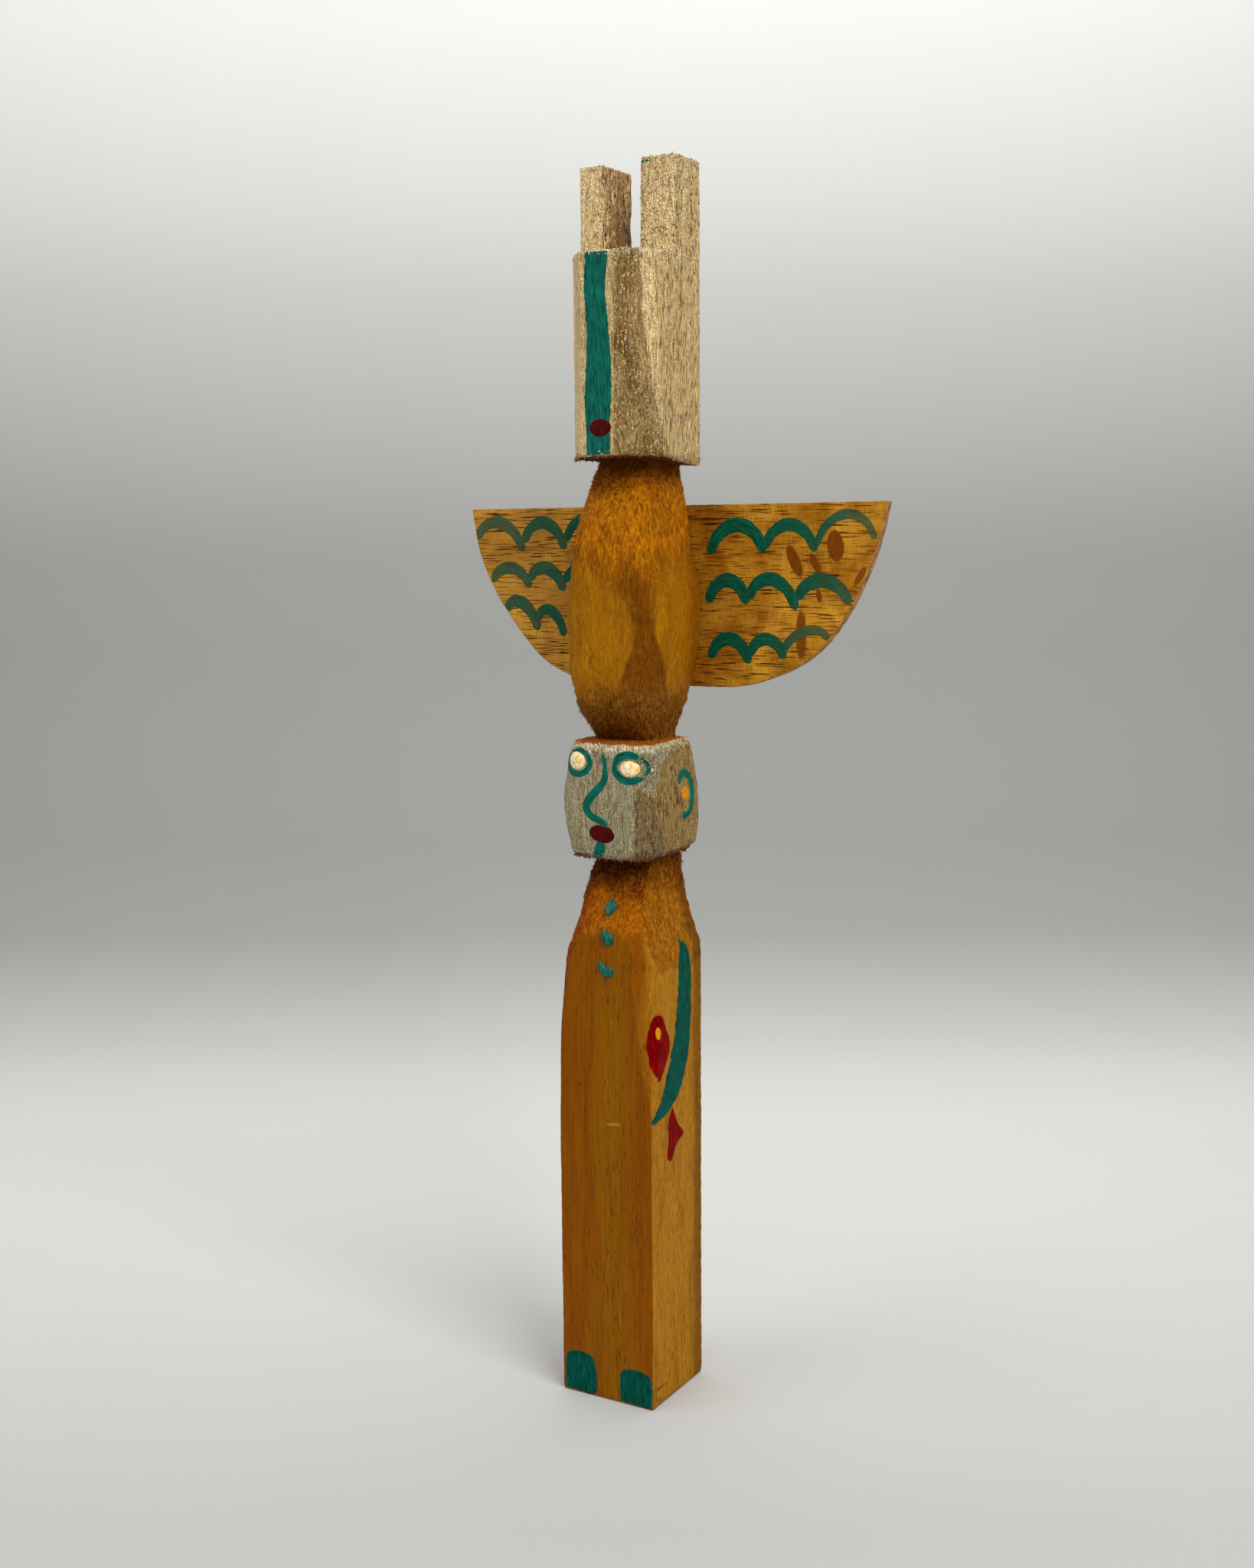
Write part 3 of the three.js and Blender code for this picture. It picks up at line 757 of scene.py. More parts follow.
# Moves a point of the finished skin in or out, as the knife and the saw left it.
def roughen(kind, point, normal, fuzz):
    spec = lengths.get(kind)
    move = 0.05 * lumps(point, (4, 4, 12), 1)
    if abs(normal.z) > 0.8:
        sawn = lumps(point, (1.3, 1.3, 1.3), 2) + lumps(point, (5, 0.8, 3), 3)
        return move + stick["endRoughness"] * sawn
    if spec is None:
        ear = ears[kind.replace("Ear", "")]
        inner = hill(-math.copysign(1, point.x), 0.5, normal.x)
        rips = lumps(point, (1.6, 1.6, 7), 5) + 0.6 * lumps(point, (0.9, 0.9, 2.4), 6)
        return move + ear["torn"] * inner * rips + 0.1 * lumps(point, (0.8, 0.8, 1.3), 8)
    onBack = ramp(0.6, 0.95, normal.y)
    move += spec["cutDepth"] * knifeCuts(point, spec["cutSize"], 4) * (1 - onBack)
    coarse = 0.4 if kind in ("body", "breast") else 0.12
    tufts = (0.05 + coarse * fuzz) * lumps(point, (0.85, 0.85, 1.9), 8)
    tufts += 0.16 * fuzz * lumps(point, (1.9, 1.9, 4), 9)
    ends = spec["stations"][0][0], spec["stations"][-1][0]
    nearEnd = 1 - ramp(0, 1.6, min(abs(point.z - end) for end in ends))
    chipped = 0 if kind == "body" else -0.3 * nearEnd * max(0, lumps(point, (1.1, 1.1, 1.1), 9) + 0.2)
    return move + (tufts + chipped) * (1 - onBack)


tints = {
    "front": linear(133, 82, 0),
    "frontRed": linear(127, 62, 0),
    "chest": linear(184, 104, 6),
    "chestDark": linear(158, 78, 4),
    "side": linear(172, 116, 22),
    "sideDark": linear(122, 74, 0),
    "eggTopPaintedHighlight": linear(208, 126, 6),
    "eggMid": linear(120, 66, 0),
    "eggLow": linear(126, 71, 3),
    "eggFoot": linear(158, 98, 22),
    "eggPaleAndLit": linear(174, 114, 5),
    "neck": linear(134, 66, 6),
    "crown": linear(198, 112, 22),
    "back": linear(168, 106, 14),
    "foot": linear(150, 96, 40),
    "under": linear(126, 62, 20),
    "gold": linear(232, 206, 156),
    "goldDark": linear(142, 112, 57),
    "goldSide": linear(225, 200, 147),
    "goldStrip": linear(216, 190, 138),
    "rips": linear(195, 167, 131),
    "silver": linear(168, 160, 129),
    "silverSide": linear(167, 141, 82),
    "silverCorner": linear(136, 119, 85),
    "crumb": linear(255, 244, 206),
}
# Where one knife facet ends and the next begins, going round the front corner: (height, how far round).
# How far round is measured from the middle of the front face towards the figure's left, in mm.
edges = {
    "snoutFacet": [(229, 23), (231.5, 22.2), (238, 19), (245, 16.2), (252, 14.2), (263, 12.7), (276, 12.8)],
    "faceBrow": [(149, 14.5), (151, 15.2), (158.2, 19.3), (162, 26.6), (163, 28)],
    "faceCorner": [(135, 21), (149.5, 15.6), (152.6, 10.5), (153, 10)],
    "eggLeft": [(163, -3), (171.6, 2.2), (176, 4.4), (181, 6.2), (185, 7.9), (190, 9.2), (197, 6.5),
                (204, -1.9),
                (208, -14)],
    "eggRight": [(163, 30), (175.3, 24.1), (182, 19.9), (190, 16), (198.6, 15.8), (208, 19.5), (214, 24)],
    "chest": [(-14, 106), (-12.7, 108), (-10.7, 111), (-6.3, 115.6), (-1.9, 117.6), (5.2, 117),
              (7.5, 118.2),
              (9.9, 116.6), (12.4, 109), (14, 105)],
}


def edgeAt(name, value):
    points = edges[name]
    if value <= points[0][0]:
        return points[0][1]
    for (a, first), (b, second) in zip(points, points[1:]):
        if value <= b:
            return first + (second - first) * (value - a) / (b - a)
    return points[-1][1]


# What the surface is like at a point: its tint, and how fuzzy, dark with soot and painted shade, bare and
# glittering it is. The tint carries painted light and shade too, where marked below.
def finishAt(kind, p, n):
    drift = lumps(p, (4, 4, 9), 11)
    small = lumps(p, (1.5, 1.5, 3), 12)
    around = p.x + p.y + half
    fuzz, soot, bare, glitter = 0.25, 0.05, 0.1, 0.15
    flat = abs(n.z) > 0.8
    onBack = ramp(0.7, 0.95, n.y)
    if kind == "body":
        side = ramp(0.62, 0.82, n.x)
        patches = lumps(p, (3, 3, 26), 14)
        olive = hill(1.5 + 3 * patches, 7, p.x) * ramp(119, 96, p.z)
        greener = min(1, 0.35 + 0.75 * olive + 0.4 * max(0, -patches))
        colour = blend(tints["frontRed"], tints["front"], greener)
        rough = ramp(-0.9, 0.9, p.z - edgeAt("chest", p.x) + 1.3 * small)
        colour = blend(colour, blend(tints["chest"], tints["chestDark"], ramp(-3, -9, p.x)), rough)
        colour = blend(colour, tints["side"], side * (1 - 0.5 * rough))
        streak = max(ramp(6.5 + 3 * drift, 10, p.y), 0.6 * ramp(0.1, 0.6, lumps(p, (3, 2.2, 20), 15)))
        colour = blend(colour, tints["sideDark"], 0.85 * streak * side)
        # Darker towards the head: darker stain on the neck, and painted shade under the head's overhang.
        colour = blend(colour, tints["neck"], ramp(123, 132, p.z + 3 * drift) * (1 - 0.4 * side))
        fuzz = max(0.12 + 0.3 * side, 0.95 * rough)
        soot += 0.6 * (1 - 0.4 * side) * ramp(122, 132, p.z + 3 * drift + 2 * small)
        soot += 0.22 * rough + 0.16 * max(0, small)
        colour = blend(colour, tints["back"], onBack * (1 - ramp(125, 133, p.z)))
        if flat:
            colour, soot = tints["foot"], 0.3
    elif kind == "breast":
        soft = 0.5 + 4 * ramp(186, 197, p.z)
        # Paler bands down the egg's left and right side facets: stain colour, and painted light on those
        # facets.
        paleAndLitBands = ramp(soft, -soft, around - edgeAt("eggLeft", p.z) + drift) * (1 - 0.2 * ramp(192, 204, p.z))
        right = ramp(-soft, soft, around - edgeAt("eggRight", p.z) + drift) * (1 - 0.5 * ramp(196, 210, p.z))
        paleAndLitBands = max(paleAndLitBands, right)
        colour = blend(tints["eggMid"], tints["eggLow"], ramp(190, 183, p.z))
        colour = blend(colour, tints["eggPaleAndLit"], paleAndLitBands * (0.75 + 0.25 * drift))
        colour = blend(colour, tints["eggLow"], 0.7 * ramp(31, 35, around + 2 * drift) * ramp(0.8, 0.2, n.y))
        # Brighter orange on the egg's upward-facing top: painted highlight, over its torn fibres.
        paintedHighlightTop = ramp(199, 209, p.z - 0.25 * max(0, around - 12) + 3 * drift + 3 * small)
        colour = blend(colour, tints["eggTopPaintedHighlight"], paintedHighlightTop * (0.75 + 0.25 * small))
        colour = blend(colour, tints["eggFoot"], ramp(179, 172, p.z + 2.5 * drift))
        # Darker towards both necks: darker stain there, and painted shade under the snout and above the face;
        # the dark patch at the middle front of the upper neck is painted shadow.
        nearTop = p.z + 4 * drift + 2.5 * small - 0.35 * max(0, p.x - 2)
        colour = blend(colour, tints["neck"], ramp(220.5, 224.5, nearTop) * 0.6)
        fuzz = 0.4 + 0.2 * (1 - paleAndLitBands) + 0.5 * paintedHighlightTop + 0.6 * ramp(179, 170, p.z + 3 * drift)
        soot += 0.5 * ramp(219.5, 226, nearTop) + 0.5 * ramp(178, 168, p.z + 3 * drift)
        soot += 0.35 * hill(221, 3.2, p.z) * hill(1, 7, p.x) * ramp(2, -4, p.y) + 0.16 * max(0, drift + 0.3)
        colour = blend(colour, tints["back"], onBack * 0.7)
    elif kind == "face":
        pastCorner = around - edgeAt("faceCorner", p.z)
        side = ramp(-0.5, 0.5, pastCorner) if p.z < 151 else ramp(-0.4, 0.4, around - edgeAt("faceBrow", p.z))
        corner = ramp(8, 9.4, around) * ramp(0.5, -0.5, pastCorner) * ramp(153, 152.4, p.z)
        colour = blend(tints["silver"], tints["silverCorner"], corner)
        colour = blend(colour, tints["silverSide"], side)
        bare = 0.1 + 0.5 * corner + 0.45 * side + 0.3 * max(0, drift)
        brow = (1 - side) * ramp(150.5, 155, p.z) * ramp(8.5, 12, around)
        glitter = 0.12 + 0.95 * ramp(158, 161.5, p.z + 1.5 * drift) + 0.9 * brow
        glitter += 0.5 * ramp(138.5, 135.6, p.z)
        colour = blend(colour, tints["crumb"], 0.7 * ramp(160.6, 162.4, p.z + small) * ramp(0.5, 0.2, n.y))
        colour = blend(colour, tints["under"], ramp(136.2, 135.4, p.z + 0.9 * small))
        bare += 0.9 * onBack
        fuzz = 0.9
        if flat:
            colour = tints["crown"] if n.z > 0 else tints["under"]
    else:
        past = around - edgeAt("snoutFacet", p.z)
        facet = ramp(3.2, 4.0, p.x) * ramp(0.6, -0.6, past) if kind == "snout" else 0
        colour = blend(tints["gold"], tints["goldDark"], facet * (0.8 + 0.3 * drift))
        side = ramp(0.85, 0.97, n.x)
        colour = blend(colour, tints["goldSide"], side)
        if kind == "snout":
            colour = blend(colour, tints["goldStrip"], ramp(-0.93, -0.99, n.y) * ramp(4.0, 3.2, p.x))
        bare = 0.08 + 0.15 * facet + 0.35 * side + 0.3 * max(0, drift) + 0.7 * onBack
        glitter = 0.2 + 0.25 * facet + 0.6 * ramp(271, 276, p.z) + 0.3 * max(0, drift) - 0.15 * side
        if kind == "snout":
            colour = blend(colour, tints["under"], 0.8 * ramp(230.3, 229.4, p.z + 0.9 * small))
        top = ears[kind.replace("Ear", "")]["top"] if kind != "snout" else snoutTop
        colour = blend(colour, tints["crumb"], 0.6 * ramp(top - 1.1, top - 0.2, p.z + 0.4 * small))
        fuzz = 0.6
        if kind == "rightEar":
            inner = ramp(0.5, 0.9, n.x)
            torn = blend(tints["rips"], tints["gold"], ramp(0.1, 0.5, drift + small))
            colour = blend(colour, torn, inner)
            bare += 0.7 * inner
        if flat:
            colour = tints["gold"] if n.z > 0 else tints["under"]
    return colour, min(1, fuzz), min(1, soot), min(1, bare), max(0, min(1, glitter))


def vertexNormals(points, faces):
    work = bmesh.new()
    made = [work.verts.new(v) for v in points]
    for face in faces:
        work.faces.new([made[i] for i in face])
    work.normal_update()
    normals = [v.normal.copy() for v in made]
    work.free()
    return normals


finishLabels = ("tint", "fuzz", "soot", "bare", "glitter")


def buildStick():
    skin = Skin()
    buildLength(skin, "body", stainSlot)
    buildLength(skin, "face", silverSlot)
    buildLength(skin, "breast", stainSlot)
    buildLength(skin, "snout", goldSlot)
    for side in ears:
        buildEar(skin, side)
    for kind, spec in lengths.items():
        own = [i for i, k in enumerate(skin.kinds) if k == kind]
        for i, p in zip(own, shave([skin.verts[i] for i in own], spec["facets"])):
            skin.verts[i] = p
    normals = vertexNormals(skin.verts, skin.faces)
    finishes = [finishAt(*given) for given in zip(skin.kinds, skin.verts, normals)]
    points = []
    for p, n, kind, finish in zip(skin.verts, normals, skin.kinds, finishes):
        moved = p + n * roughen(kind, p, n, finish[1])
        if kind == "body" and p.z < 1:
            moved.z = max(p.z, 0)
        if kind == "snout":
            nearFoot = 1 - ramp(229.6, 236, p.z)
            moved.z -= stick["sawSlope"] * nearFoot * ramp(-6, 12, p.x) * ramp(-9, 10, p.y)
            moved.z -= 1.3 * ramp(-10.6, -13, p.x) * ramp(273, 276, p.z)
        points.append(Vector([min(max(m, a), b) for m, a, b in zip(moved, stickLow, stickHigh)]))
    attributes = {label: [f[i] for f in finishes] for i, label in enumerate(finishLabels)}
    made = makeObject("carvedStick", points, skin.faces, [stain, gold, silver, torn], skin.slots, attributes)
    return made, skin, points, attributes


carvedStick, skin, skinPoints, skinFinish = buildStick()
print("stick carved:", len(carvedStick.data.polygons), "faces")


# The wing board.

board = {
    "middle": (boardLow.x + boardHigh.x) / 2,
    "right": [(57.4, 218.8), (56.5, 214.2), (54.5, 207.3), (51.6, 200.4), (48, 193.6), (43.2, 187),
              (38.5, 182.7),
              (33.5, 179.7), (28.4, 177.6), (22, 175.7), (15, 175.1), (0, 175.1)],
    "left": [(57.4, 218.8), (56.3, 212.2), (55.3, 208), (53.2, 202.8), (49.7, 196.4), (46.4, 192),
             (42.3, 186.8),
             (36.4, 181.0), (31.5, 178.2), (26, 176.3), (18, 175.2), (0, 175.1)],
    "step": 0.7,
    "topSteps": 160,
    "ragged": 0.16,
}


def throughPoints(points, gap):  # a smooth line through points, as places about a gap apart
    ends = [points[0], *points, points[-1]]
    result = []
    for a, b, c, d in zip(ends, ends[1:], ends[2:], ends[3:]):
        a, b, c, d = (Vector(p) for p in (a, b, c, d))
        steps = max(1, round((c - b).xy.length / gap))
        for i in range(steps):
            t = i / steps
            result.append(0.5 * (2 * b + (c - a) * t + (2 * a - 5 * b + 4 * c - d) * t * t
                                 + (3 * b - a - 3 * c + d) * t ** 3))
    return [*result, Vector(points[-1])]


def boardOutline():
    right = throughPoints([(board["middle"] + x, z) for x, z in board["right"]], board["step"])
    left = throughPoints([(board["middle"] - x, z) for x, z in board["left"]], board["step"])
    top = [Vector(p) for p in straight(tuple(left[0]), tuple(right[0]), board["topSteps"])]
    return top + right[:-1] + left[:0:-1]  # round from the left tip, clockwise as seen from the front


def buildBoard():
    outline = boardOutline()
    count = len(outline)
    middle = Vector((board["middle"], 200))
    front, back = boardLow.y, boardHigh.y
    layers = [(front, 0.45), (front, 0.22), (front + 0.1, 0.02), (front + 0.9, 0), (front + 1.4, 0.06),
              (front + 1.9, 0), (back - 0.1, 0.02), (back, 0.22), (back, 0.45)]
    verts, rim = [], []
    for k, (y, inset) in enumerate(layers):
        for p in outline:
            inward = (middle - p).normalized()
            onEdge = 1 < k < len(layers) - 2
            ragged = board["ragged"] * lumps((p.x, y * 2, p.y), (0.8, 1.2, 0.8), 21) if onEdge else 0
            q = p + inward * (inset + max(0, ragged))
            verts.append(Vector((q.x, y, q.y)))
            rim.append(ramp(0.6, 0.1, inset) if onEdge else 0)
    made = makeObject("wingBoard", verts, shellFaces(len(layers), count), [veneer], attributes={"rim": rim})
    return closeShell(made)


wingBoard = buildBoard()
print("wing board cut")


# Paint.

trees = {o: BVHTree.FromPolygons([v.co / mm for v in o.data.vertices], [p.vertices for p in o.data.polygons])
         for o in (carvedStick, wingBoard)}


# Strokes and patches are drawn on a flat sheet that faces one way: facing 0 is the front, 90 the
# figure's left, and a place on the sheet is (across, height). They are then laid on the wood.
tuck = 0.035  # how far the rim of the paint sinks into the wood
castFrom, nearWood = 40, 11  # how far in front of the middle a ray starts, and where to look if it misses


class Paint:
    def __init__(self, wood, thickness=0.07):
        self.tree, self.thickness = trees[wood], thickness
        self.verts, self.faces, self.coverage, self.strokeMap = [], [], [], []

    def lay(self, facing, place, height, coverage, stroke):
        turn = math.radians(facing)
        across = Vector((math.cos(turn), math.sin(turn), 0))
        out = Vector((math.sin(turn), -math.cos(turn), 0))
        start = across * place[0] + up * place[1] + out * castFrom
        hit, normal, _, _ = self.tree.ray_cast(start, -out)
        if hit is None:
            hit, normal, _, _ = self.tree.find_nearest(across * place[0] + up * place[1] + out * nearWood)
        self.verts.append(hit + normal * height)
        self.coverage.append(coverage)
        self.strokeMap.append(stroke)
        return len(self.verts) - 1

    # points are (across, height, width) along the middle of a brush stroke.
    def stroke(self, facing, points, coverage=1.0, seed=0, gap=0.35, columns=10, fade=0.0, square=False):
        path = throughPoints(points, gap)
        rows, travelled = [], 0
        total = sum((b - a).xy.length for a, b in zip(path, path[1:]))
        for i, p in enumerate(path):
            before, after = path[max(i - 1, 0)], path[min(i + 1, len(path) - 1)]
            along = (after - before).xy.normalized()
            side = Vector((-along.y, along.x))
            travelled += (p - before).xy.length
            fromEnd = min(travelled, total - travelled)
            blunt = 1 if square else math.sqrt(min(1, max(0.02, fromEnd / (p.z * 0.35))))
            width = p.z / 2 * blunt * (1 + 0.07 * lumps((travelled, seed, 0), (1.6, 1, 1), 31))
            hides = coverage - fade * travelled / total
            row = []
            for j in range(columns + 1):
                u = 2 * j / columns - 1
                uneven = 0.05 * lumps((travelled, u, seed), (0.7, 1, 1), 32)
                place = p.xy + side * width * (u + uneven)
                ridge = 0.8 + 0.35 * abs(u) ** 3
                height = self.thickness * (1 + 0.2 * (seed % 3)) * (1 - abs(u) ** 8) * ridge * blunt
                height -= tuck if abs(u) == 1 else 0
                row.append(self.lay(facing, place, height, hides, (width * u + 40 * seed, travelled)))
            rows.append(row)
        for a, b in zip(rows, rows[1:]):
            self.faces += [(a[j], b[j], b[j + 1], a[j + 1]) for j in range(columns)]

    # points go round the outline; the patch is closed rings that shrink to its middle.
    def patch(self, facing, points, coverage=1.0, thickness=None, rings=7, gap=0.4, soft=0, dome=False):
        outline = throughPoints([*points, points[0]], gap)[:-1]
        middle = sum((Vector(p) for p in points), Vector((0, 0))) / len(points)
        high = thickness or self.thickness
        loops = []
        for k in range(rings):
            r = 1 - k / rings
            rise = math.sqrt(max(0, 1 - r ** 2)) if dome else min(1, (1 - r) * 5)
            height = high * rise - (tuck if k == 0 else 0)
            loop = []
            for p in outline:
                uneven = 1 + 0.02 * lumps((p.x, p.y, 0), (0.8, 0.8, 1), 33) * r
                place = middle + (p - middle) * r * uneven
                bumps = 0.1 * high * lumps((place.x, place.y, 3), (0.9, 0.9, 1), 34) if dome and k else 0
                hides = coverage * (ramp(0, soft, 1 - r) if soft else 1)
                loop.append(self.lay(facing, place, height + bumps, hides, (place.x, place.y)))
            loops.append(loop)
        tip = self.lay(facing, middle, high, coverage, tuple(middle))
        count = len(outline)
        for a, b in zip(loops, loops[1:]):
            self.faces += [(a[i], a[(i + 1) % count], b[(i + 1) % count], b[i]) for i in range(count)]
        self.faces += [(loops[-1][i], loops[-1][(i + 1) % count], tip) for i in range(count)]

    def finish(self, name, material):
        attributes = {"coverage": self.coverage, "stroke": self.strokeMap}
        made = makeObject(name, self.verts, self.faces, [material], attributes=attributes, sharp=0)
        work = bmesh.new()
        work.from_mesh(made.data)
        for face in work.faces:  # every face looks away from the wood
            centre = face.calc_center_median() / mm
            _, normal, _, _ = self.tree.find_nearest(centre)
            if normal and face.normal.dot(normal) < 0:
                face.normal_flip()
        work.to_mesh(made.data)
        work.free()
        return made


def oval(across, height, wide, tall, lean=0, count=10):  # lean is how far the top tips to the left
    turn, points = math.radians(lean), []
    for i in range(count):
        u, v = wide * math.cos(2 * math.pi * i / count), tall * math.sin(2 * math.pi * i / count)
        points.append((across + u * math.cos(turn) + v * math.sin(turn),
                       height + v * math.cos(turn) - u * math.sin(turn)))
    return points


def arcLine(across, height, wide, tall, start, stop, width):  # a stroke round part of an oval, in degrees
    points, steps = [], 8
    for i in range(steps + 1):
        turn = math.radians(start + (stop - start) * i / steps)
        points.append((across + wide * math.cos(turn), height + tall * math.sin(turn),
                       width * (0.75 + 0.25 * math.sin(math.pi * i / steps))))
    return points


def footPatch(low, high, top):  # a block with its upper corners rounded, down to the sole
    return [(low, 0.3), (low, 0.75 * top), (low + 1.4, 0.94 * top), ((low + high) / 2, top),
            (high - 1.4, 0.94 * top), (high, 0.75 * top), (high, 0.3)]


facePaint = {
    "eyeRings": [arcLine(-7.2, 158.2, 3.5, 2.8, 130, -225, 1.6), arcLine(7, 157.5, 3.9, 3.1, 178, 52, 2.1),
                 arcLine(7, 157.5, 3.9, 3.1, 163, 315, 2), arcLine(7, 157.5, 3.9, 3.1, 52, -35, 0.8)],
    "noseLine": [(-0.2, 160.4, 1.2), (0.5, 157, 1.3), (0, 153.8, 1.8), (-3.5, 150.1, 2.3),
                 (-4.8, 147.6, 2.1),
                 (-3.5, 145.6, 2), (-0.6, 144.4, 1.8), (1, 143, 1.3)],
    "chinLine": [(-0.5, 139.6, 3.0), (-1.2, 137.8, 3.0), (-2.0, 136.4, 2.5), (-2.4, 135.5, 1.6)],
    "mouth": oval(-0.5, 141.4, 3.6, 2.2, 6),
    "earMark": arcLine(5.6, 149.6, 3.9, 5.2, 148, -116, 2.4),
    "earDab": oval(5.8, 149.8, 1.7, 1.6),
    "rightDab": oval(-7.5, 158.6, 2.6, 2.1, 8),
    "leftDab": oval(7.1, 157.3, 2.5, 1.9, -4),
}
snoutPaint = {
    "chip": [(-1.4, 275.0, 0.35), (-0.4, 274.6, 0.5), (0.7, 274.0, 0.3)],
    "earTip": [(3.6, 296.9, 0.4), (5.6, 297.2, 0.5), (8.6, 297.5, 0.3)],
    "stripe": [(-0.8, 275.6, 6.4), (-1.0, 270.5, 6.1), (-1.2, 266.5, 5.9), (-0.7, 261.5, 6.0),
               (-0.4, 256.5, 6.3),
               (-0.3, 250.0, 7.1), (-0.5, 245.0, 7.3), (-0.6, 241.5, 7.3), (-0.6, 236.0, 6.8),
               (-0.5, 230.0, 6.6)],
    "dot": oval(0, 236.1, 3.1, 2.2),
}
bodyPaint = {
    "arm": [(2.6, 114.2, 1.2), (3.6, 111.5, 4.6), (3.9, 106.5, 6.6), (3.8, 100.5, 7.2), (3.1, 93.2, 8.2),
            (1.0, 85.0, 9.0), (-2.4, 79.0, 8.6), (-6.0, 75.4, 5.6), (-9.4, 73.6, 3.2), (-12.4, 72.2, 1.6)],
    "fish": [(-1.5, 99.1), (0.6, 96.9), (1.9, 94.2), (3.4, 90.8), (3.0, 87.4), (1.1, 84.1), (-1.2, 81.5),
             (-3.4, 84.3), (-4.3, 87.7), (-4.5, 92.4), (-3.5, 96.2)],
    "fishEye": oval(-1.5, 93.6, 0.8, 1.7),
    "fishFacing": 60,
    "tail": [(-2.2, 74.0), (-0.9, 71.3), (1.2, 68.4), (3.5, 65.8), (1.2, 64.6), (-0.5, 63.6), (-2.0, 61.6),
             (-3.7, 60.1), (-5.4, 61.8), (-4.7, 66.5), (-4.7, 71.0)],
    "footRight": footPatch(-12.5, -3.5, 11.3),
    "footLeft": footPatch(3.1, 12.5, 9.8),
    "scrape": [(0.0, 70.4, 0.5), (2.0, 70.7, 0.9), (4.0, 70.9, 0.6)],
    "buttons": {
        "upper": [(-0.4, 124.9), (0.9, 124.2), (1.2, 122.8), (0.4, 121.5), (-1.0, 121.3),
                  (-1.9, 122.6), (-1.6, 124.2)],
        "middle": [(-0.6, 118.2), (1.2, 117.8), (2.3, 116.4), (2.2, 115.0), (0.8, 114.4),
                   (-0.6, 115.2), (-1.5, 116.8)],
        "lower": [(-1.6, 110.7), (-0.6, 110.2), (0.6, 109.3), (2.2, 109.4), (2.6, 108.0),
                  (1.6, 106.9), (0.0, 106.9),
                  (-1.3, 107.8), (-1.9, 109.3)],
    },
}
wingPaint = {
    # a scallop: across from and to, the heights of its two feet and its crest, its width, cover, fade
    "left": [(14.7, 29.4, 207, 207.3, 213.9, 3.9, 1.15, 0), (29.4, 42.7, 208.2, 207.5, 213.8, 3.4, 1.1, 0.1),
             (42.6, 57.6, 208.6, 210.2, 216, 2.6, 1, 0.2), (14.4, 24.9, 195.4, 195.2, 200.8, 3.9, 1.15, 0),
             (25.1, 37.8, 196.2, 194, 201, 3.6, 1.15, 0.1), (37.8, 51.3, 196.2, 195.4, 200.8, 3.9, 1.1, 0.25),
             (15, 25.5, 182, 181, 186.8, 3.8, 1.15, 0), (25.6, 34.7, 183, 182.4, 186.9, 3.4, 1.1, 0.1),
             (34.4, 46.2, 184, 187, 189, 2.8, 0.95, 0.1)],
    "right": [(-53, -38.8, 211.2, 208, 215.3, 3.5, 0.85, -0.05),
              (-38.6, -26.2, 210.2, 208.4, 215.1, 3.5, 0.95, 0),
              (-26, -13.5, 210.4, 209, 215.7, 3.4, 1.1, 0), (-48.4, -36.9, 200.2, 198.8, 203.8, 3.5, 0.9, 0),
              (-37, -26.6, 200.6, 198, 203.7, 3.7, 0.95, 0), (-26.6, -14, 200.2, 199, 203.8, 3.2, 1.1, 0),
              (-44.2, -34.4, 193, 188, 194.9, 3.7, 0.95, 0), (-34.8, -26.6, 190.4, 186.6, 193, 3.2, 1, 0)],
    # a wash: the oval it fills, then its cover
    "washes": [((47.7, 208.8, 2.4, 4.1, -8), 1.5), ((37.3, 205.3, 1.7, 4.8, -25), 1.2),
               ((42.6, 204.8, 1.1, 3, -28), 1.3), ((43.6, 197.2, 0.8, 1.8, -12), 1.1),
               ((39.1, 188.1, 1.6, 6.8, 0), 0.95), ((53.9, 201.8, 0.9, 3, 32), 0.9)],
}


def scallop(start, end, footA, footB, crest, width):  # foot to foot over the crest, widest in the middle
    points, steps = [], 8
    for i in range(steps + 1):
        t = i / steps
        bulge = math.sin(math.pi * t) if 0 < i < steps else 0
        height = footA + (footB - footA) * t + (crest - (footA + footB) / 2) * bulge ** 0.62
        points.append((start + (end - start) * t, height, width * (0.7 + 0.3 * bulge)))
    return points


def mirrored(points):  # the same marks on the figure's right side, which is drawn facing -90
    return [(-p[0], *p[1:]) for p in points]


def paintTeal():
    paint = Paint(carvedStick)
    for ring in facePaint["eyeRings"]:
        paint.stroke(0, ring, seed=1)
    paint.stroke(0, facePaint["noseLine"], seed=2)
    paint.stroke(0, facePaint["chinLine"], seed=3)
    paint.stroke(0, snoutPaint["earTip"], coverage=0.8, seed=9)
    paint.stroke(90, facePaint["earMark"], seed=4)
    paint.stroke(-90, mirrored(facePaint["earMark"]), seed=5)
    paint.stroke(0, snoutPaint["stripe"], seed=6, columns=16, square=True)
    body = Paint(carvedStick)
    body.stroke(90, bodyPaint["arm"], seed=7, columns=18)
    body.stroke(-90, mirrored(bodyPaint["arm"]), seed=8, columns=18)
    for foot in ("footRight", "footLeft"):
        body.patch(0, bodyPaint[foot], soft=0.2, rings=14)
    return paint.finish("tealMarks", teal), body.finish("armsAndFeet", deepTeal)


